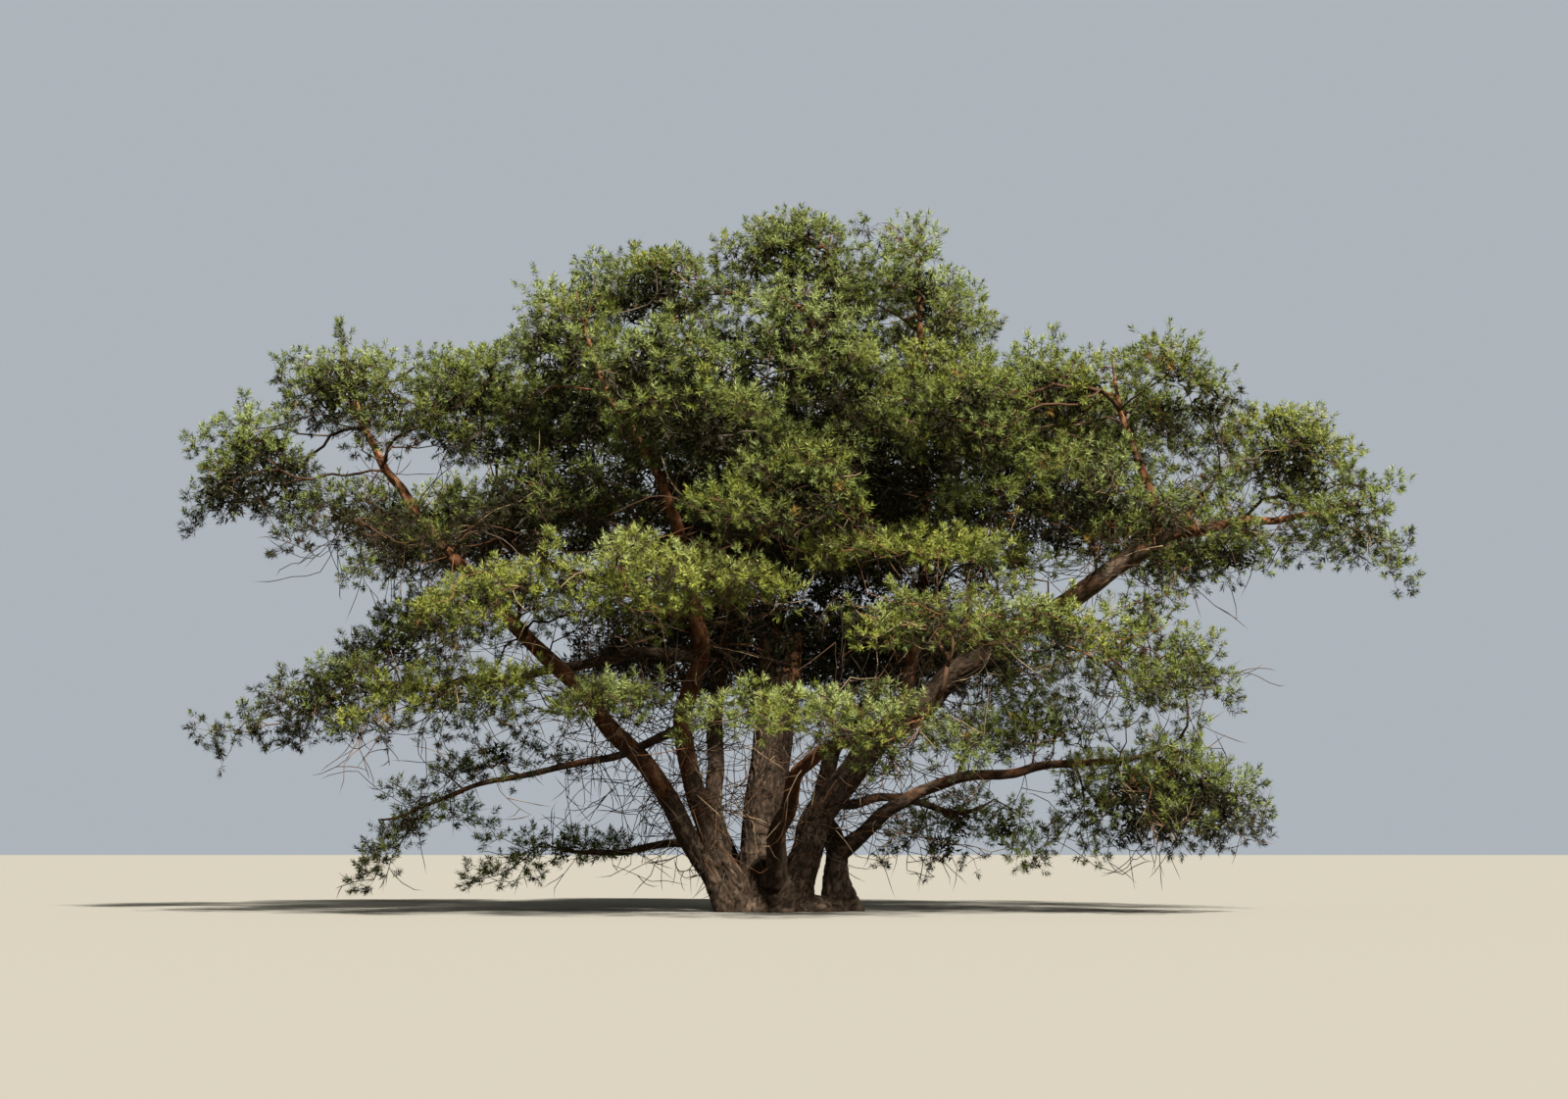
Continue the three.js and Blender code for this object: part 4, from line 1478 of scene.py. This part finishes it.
def shoot_colours(ladder, painted_shade, height, rng):
    """The numbers of a shoot's colours at its tip and its foot: painted light high in its clump and painted
    shade low in it, with more painted shade at its foot.
    """
    if rng.random() < OLD_SHARE and ladder is not LADDERS["shaded"]:
        return NEEDLE_NAMES.index("needles_old"), NEEDLE_NAMES.index("needles_old")
    step = painted_shade + (1 - height) * LOW_SHADE + rng.normal(0, SHOOT_WOBBLE)
    steps = np.clip([round(step), round(step + FOOT_SHADE)], 0, len(ladder) - 1)
    return tuple(NEEDLE_NAMES.index("needles_" + ladder[k]) for k in steps)


def build_foliage(clumps, needle_batches, twig_batches):
    """Every clump's twigs and needles."""
    rng = np.random.default_rng([SEED, 7])
    outer = needle_templates()
    inner = tangle_templates()
    gathered = {(region, deep): [] for region in REGIONS for deep in (False, True)}
    sticks = {region: [] for region in REGIONS}
    for clump in clumps:
        hubs, shoots = clump_shoots(clump, rng)
        twig_shares = BARE_SHARES if clump["inner"] or clump["below"] else LIVE_SHARES
        twig_colour = rng.choice(len(twig_shares), p=twig_shares)
        for hub in [] if clump["inner"] else hubs:
            past_hub = hub + (hub - clump["base"]) * STICK_OVERRUN
            sticks[clump["region"]].append((*clump["base"], *past_hub, twig_colour))
        ladder, painted_shade = ladder_of(clump, rng)
        for k, tip, heading, height in shoots:
            gathered[clump["region"], clump["inner"]].append(
                (*tip, *heading, *unit(tip - clump["base"]), *shoot_colours(ladder, painted_shade, height, rng),
                 rng.integers(TEMPLATES), rng.uniform(0, TAU),
                 rng.uniform(*SHOOT_SIZE) * clump.get("size", 1))
            )
            if not clump["inner"]:
                sticks[clump["region"]].append((*hubs[k], *tip, twig_colour))
    for (region, deep), rows in gathered.items():
        if rows:
            add_needles(np.array(rows), inner if deep else outer, needle_batches[region])
    for region, rows in sticks.items():
        add_sticks(np.array(rows), twig_batches[region])


def add_needles(rows, templates, needles):
    """The needles of each shoot: a template turned along the shoot, with its last needles at the tip. Each
    needle's flat side faces out from its shoot and its clump."""
    rng = np.random.default_rng([SEED, 9, len(rows)])
    tip, z, out = rows[:, 0:3], rows[:, 3:6], rows[:, 6:9]
    tip_colour, foot_colour, kind, turn, size = rows[:, 9:14].T
    x = unit(np.cross(z, ASKEW))
    y = np.cross(z, x)
    c, s = np.cos(turn)[:, None], np.sin(turn)[:, None]
    axes = np.stack([x * c + y * s, y * c - x * s, z], 1)
    base = tip - z * (SHOOT_NEEDLED * size * LAST_NEEDLE)[:, None]
    for k, (foot, way, long, wide, dark) in enumerate(templates):
        mine = kind == k
        scale = size[mine][:, None, None]
        starts = base[mine][:, None] + np.einsum("nk,pkj->pnj", foot, axes[mine]) * scale
        ways = np.einsum("nk,pkj->pnj", way, axes[mine])
        ahead = z[mine][:, None]
        round_shoot = unit(ways - ahead * np.sum(ways * ahead, axis=2, keepdims=True))
        facing = FACING_AHEAD * ahead + FACING_ROUND * round_shoot + FACING_OUT * out[mine][:, None]
        facing += rng.normal(0, FACING_WOBBLE, ways.shape)
        side = unit(np.cross(ways, facing)) * wide[None, :, None]
        reach = ways * long[None, :, None] * scale
        corners = np.stack([starts, starts + reach * WIDEST_SHARE + side, starts + reach], 2)
        count = corners.shape[0] * corners.shape[1]
        # Low needles and the heart blades take the foot colour, which is painted shade
        per_needle = np.where(dark, foot_colour[mine][:, None], tip_colour[mine][:, None])
        needles.add(corners.reshape(-1, 3), np.arange(3 * count).reshape(-1, 3), per_needle.ravel())


def add_sticks(rows, twigs):
    """A thin three-sided spike for each row's start and end."""
    start, end, colour = rows[:, 0:3], rows[:, 3:6], rows[:, 6]
    x = unit(np.cross(end - start, ASKEW))
    y = unit(np.cross(end - start, x))
    angle = np.arange(3) * TAU / 3
    ring = x[:, None] * np.cos(angle)[None, :, None] + y[:, None] * np.sin(angle)[None, :, None]
    corners = np.concatenate([start[:, None] + ring * STICK_RADIUS, end[:, None]], 1)
    each = np.array([[0, 1, 3], [1, 2, 3], [2, 0, 3], [0, 2, 1]])
    triangles = (each[None] + 4 * np.arange(len(rows))[:, None, None]).reshape(-1, 3)
    twigs.add(corners.reshape(-1, 3), triangles, np.repeat(colour, 4))


# The scene round the tree


def make_camera():
    data = bpy.data.cameras.new("camera")
    data.lens = LENS_MM
    data.sensor_width = SENSOR_MM
    data.clip_end = FARTHEST_SEEN
    camera = bpy.data.objects.new("camera", data)
    camera.location = CAMERA_PLACE
    camera.rotation_euler = (math.pi / 2 + CAMERA_RISE, 0, 0)
    bpy.context.scene.collection.objects.link(camera)
    bpy.context.scene.camera = camera


def make_light():
    sun = bpy.data.lights.new("sun", "SUN")
    sun.energy = SUN_STRENGTH
    sun.angle = SUN_ANGLE
    sun.color = SUN_COLOUR
    lamp = bpy.data.objects.new("sun", sun)
    lamp.rotation_euler = Vector(SUN_TOWARDS).to_track_quat("-Z", "Y").to_euler()
    bpy.context.scene.collection.objects.link(lamp)
    world = bpy.data.worlds.new("sky")
    world.use_nodes = True
    tree = world.node_tree

    def colour(value):
        node = tree.nodes.new("ShaderNodeRGB")
        node.outputs[0].default_value = (*value, 1)
        return node.outputs[0]

    def choose(share, a, b):
        node = tree.nodes.new("ShaderNodeMix")
        node.data_type = "RGBA"
        for socket, source in ((0, share), (6, a), (7, b)):
            tree.links.new(source, node.inputs[socket])
        return node.outputs[2]

    rise = tree.nodes.new("ShaderNodeSeparateXYZ")
    tree.links.new(tree.nodes.new("ShaderNodeTexCoord").outputs["Generated"], rise.inputs[0])
    above = tree.nodes.new("ShaderNodeMath")
    above.operation = "GREATER_THAN"
    above.inputs[1].default_value = HORIZON
    tree.links.new(rise.outputs["Z"], above.inputs[0])
    light = choose(above.outputs[0], colour(UNDER_COLOUR), colour(FILL_COLOUR))
    seen = tree.nodes.new("ShaderNodeLightPath").outputs["Is Camera Ray"]
    tree.links.new(choose(seen, light, colour(BACKDROP_COLOUR)), tree.nodes["Background"].inputs["Color"])
    bpy.context.scene.world = world
    bpy.context.scene.view_settings.view_transform = "Standard"


def make_floor():
    bm = bmesh.new()
    bmesh.ops.create_grid(bm, x_segments=1, y_segments=1, size=FLOOR_HALF)
    mesh = bpy.data.meshes.new("floor")
    bm.to_mesh(mesh)
    bm.free()
    floor = bpy.data.objects.new("floor", mesh)
    floor.location.z = FLOOR_HEIGHT
    floor.visible_diffuse = False
    bpy.context.scene.collection.objects.link(floor)
    mesh.materials.append(plain_material("pale_floor", FLOOR_COLOUR, 0.9, 0.1))


def make_wood():
    bark = bark_material()
    for name, limb in (LIMBS | STUBS).items():
        piece = limb_bark(name, limb)
        piece.data.materials.append(bark)
        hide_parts("trunk" if name in STUBS else name)
    plate = root_plate()
    plate.data.materials.append(bark)
    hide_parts("trunk")


def make_foliage():
    shapes = mass_shapes()
    clumps = place_clumps(shapes) + place_inner_clumps(shapes)
    carriers = place_carriers(shapes)
    branches, roots = grow_branches(clumps, carriers)
    grow_bare_twigs(branches, roots)
    radius = share_flow(branches, clumps)
    needle_batches = {region: Batch() for region in REGIONS}
    twig_batches = {region: Batch() for region in REGIONS}
    build_branches(branches, radius, twig_batches)
    build_foliage(clumps, needle_batches, twig_batches)
    needle_finishes = [plain_material(k, c, 0.55, 0.16) for k, c in NEEDLE_COLOURS.items()]
    twig_finishes = [plain_material(k, c, 0.85, 0.2) for k, c in TWIG_COLOURS.items()]
    for region, masses in REGIONS.items():
        needles = needle_batches[region].piece("needles_" + region, needle_finishes, "needles", False)
        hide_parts(*masses)
        twig_batches[region].piece("twigs_" + region, twig_finishes, "young_bark", True)


make_camera()
make_light()
make_floor()
make_wood()
make_foliage()
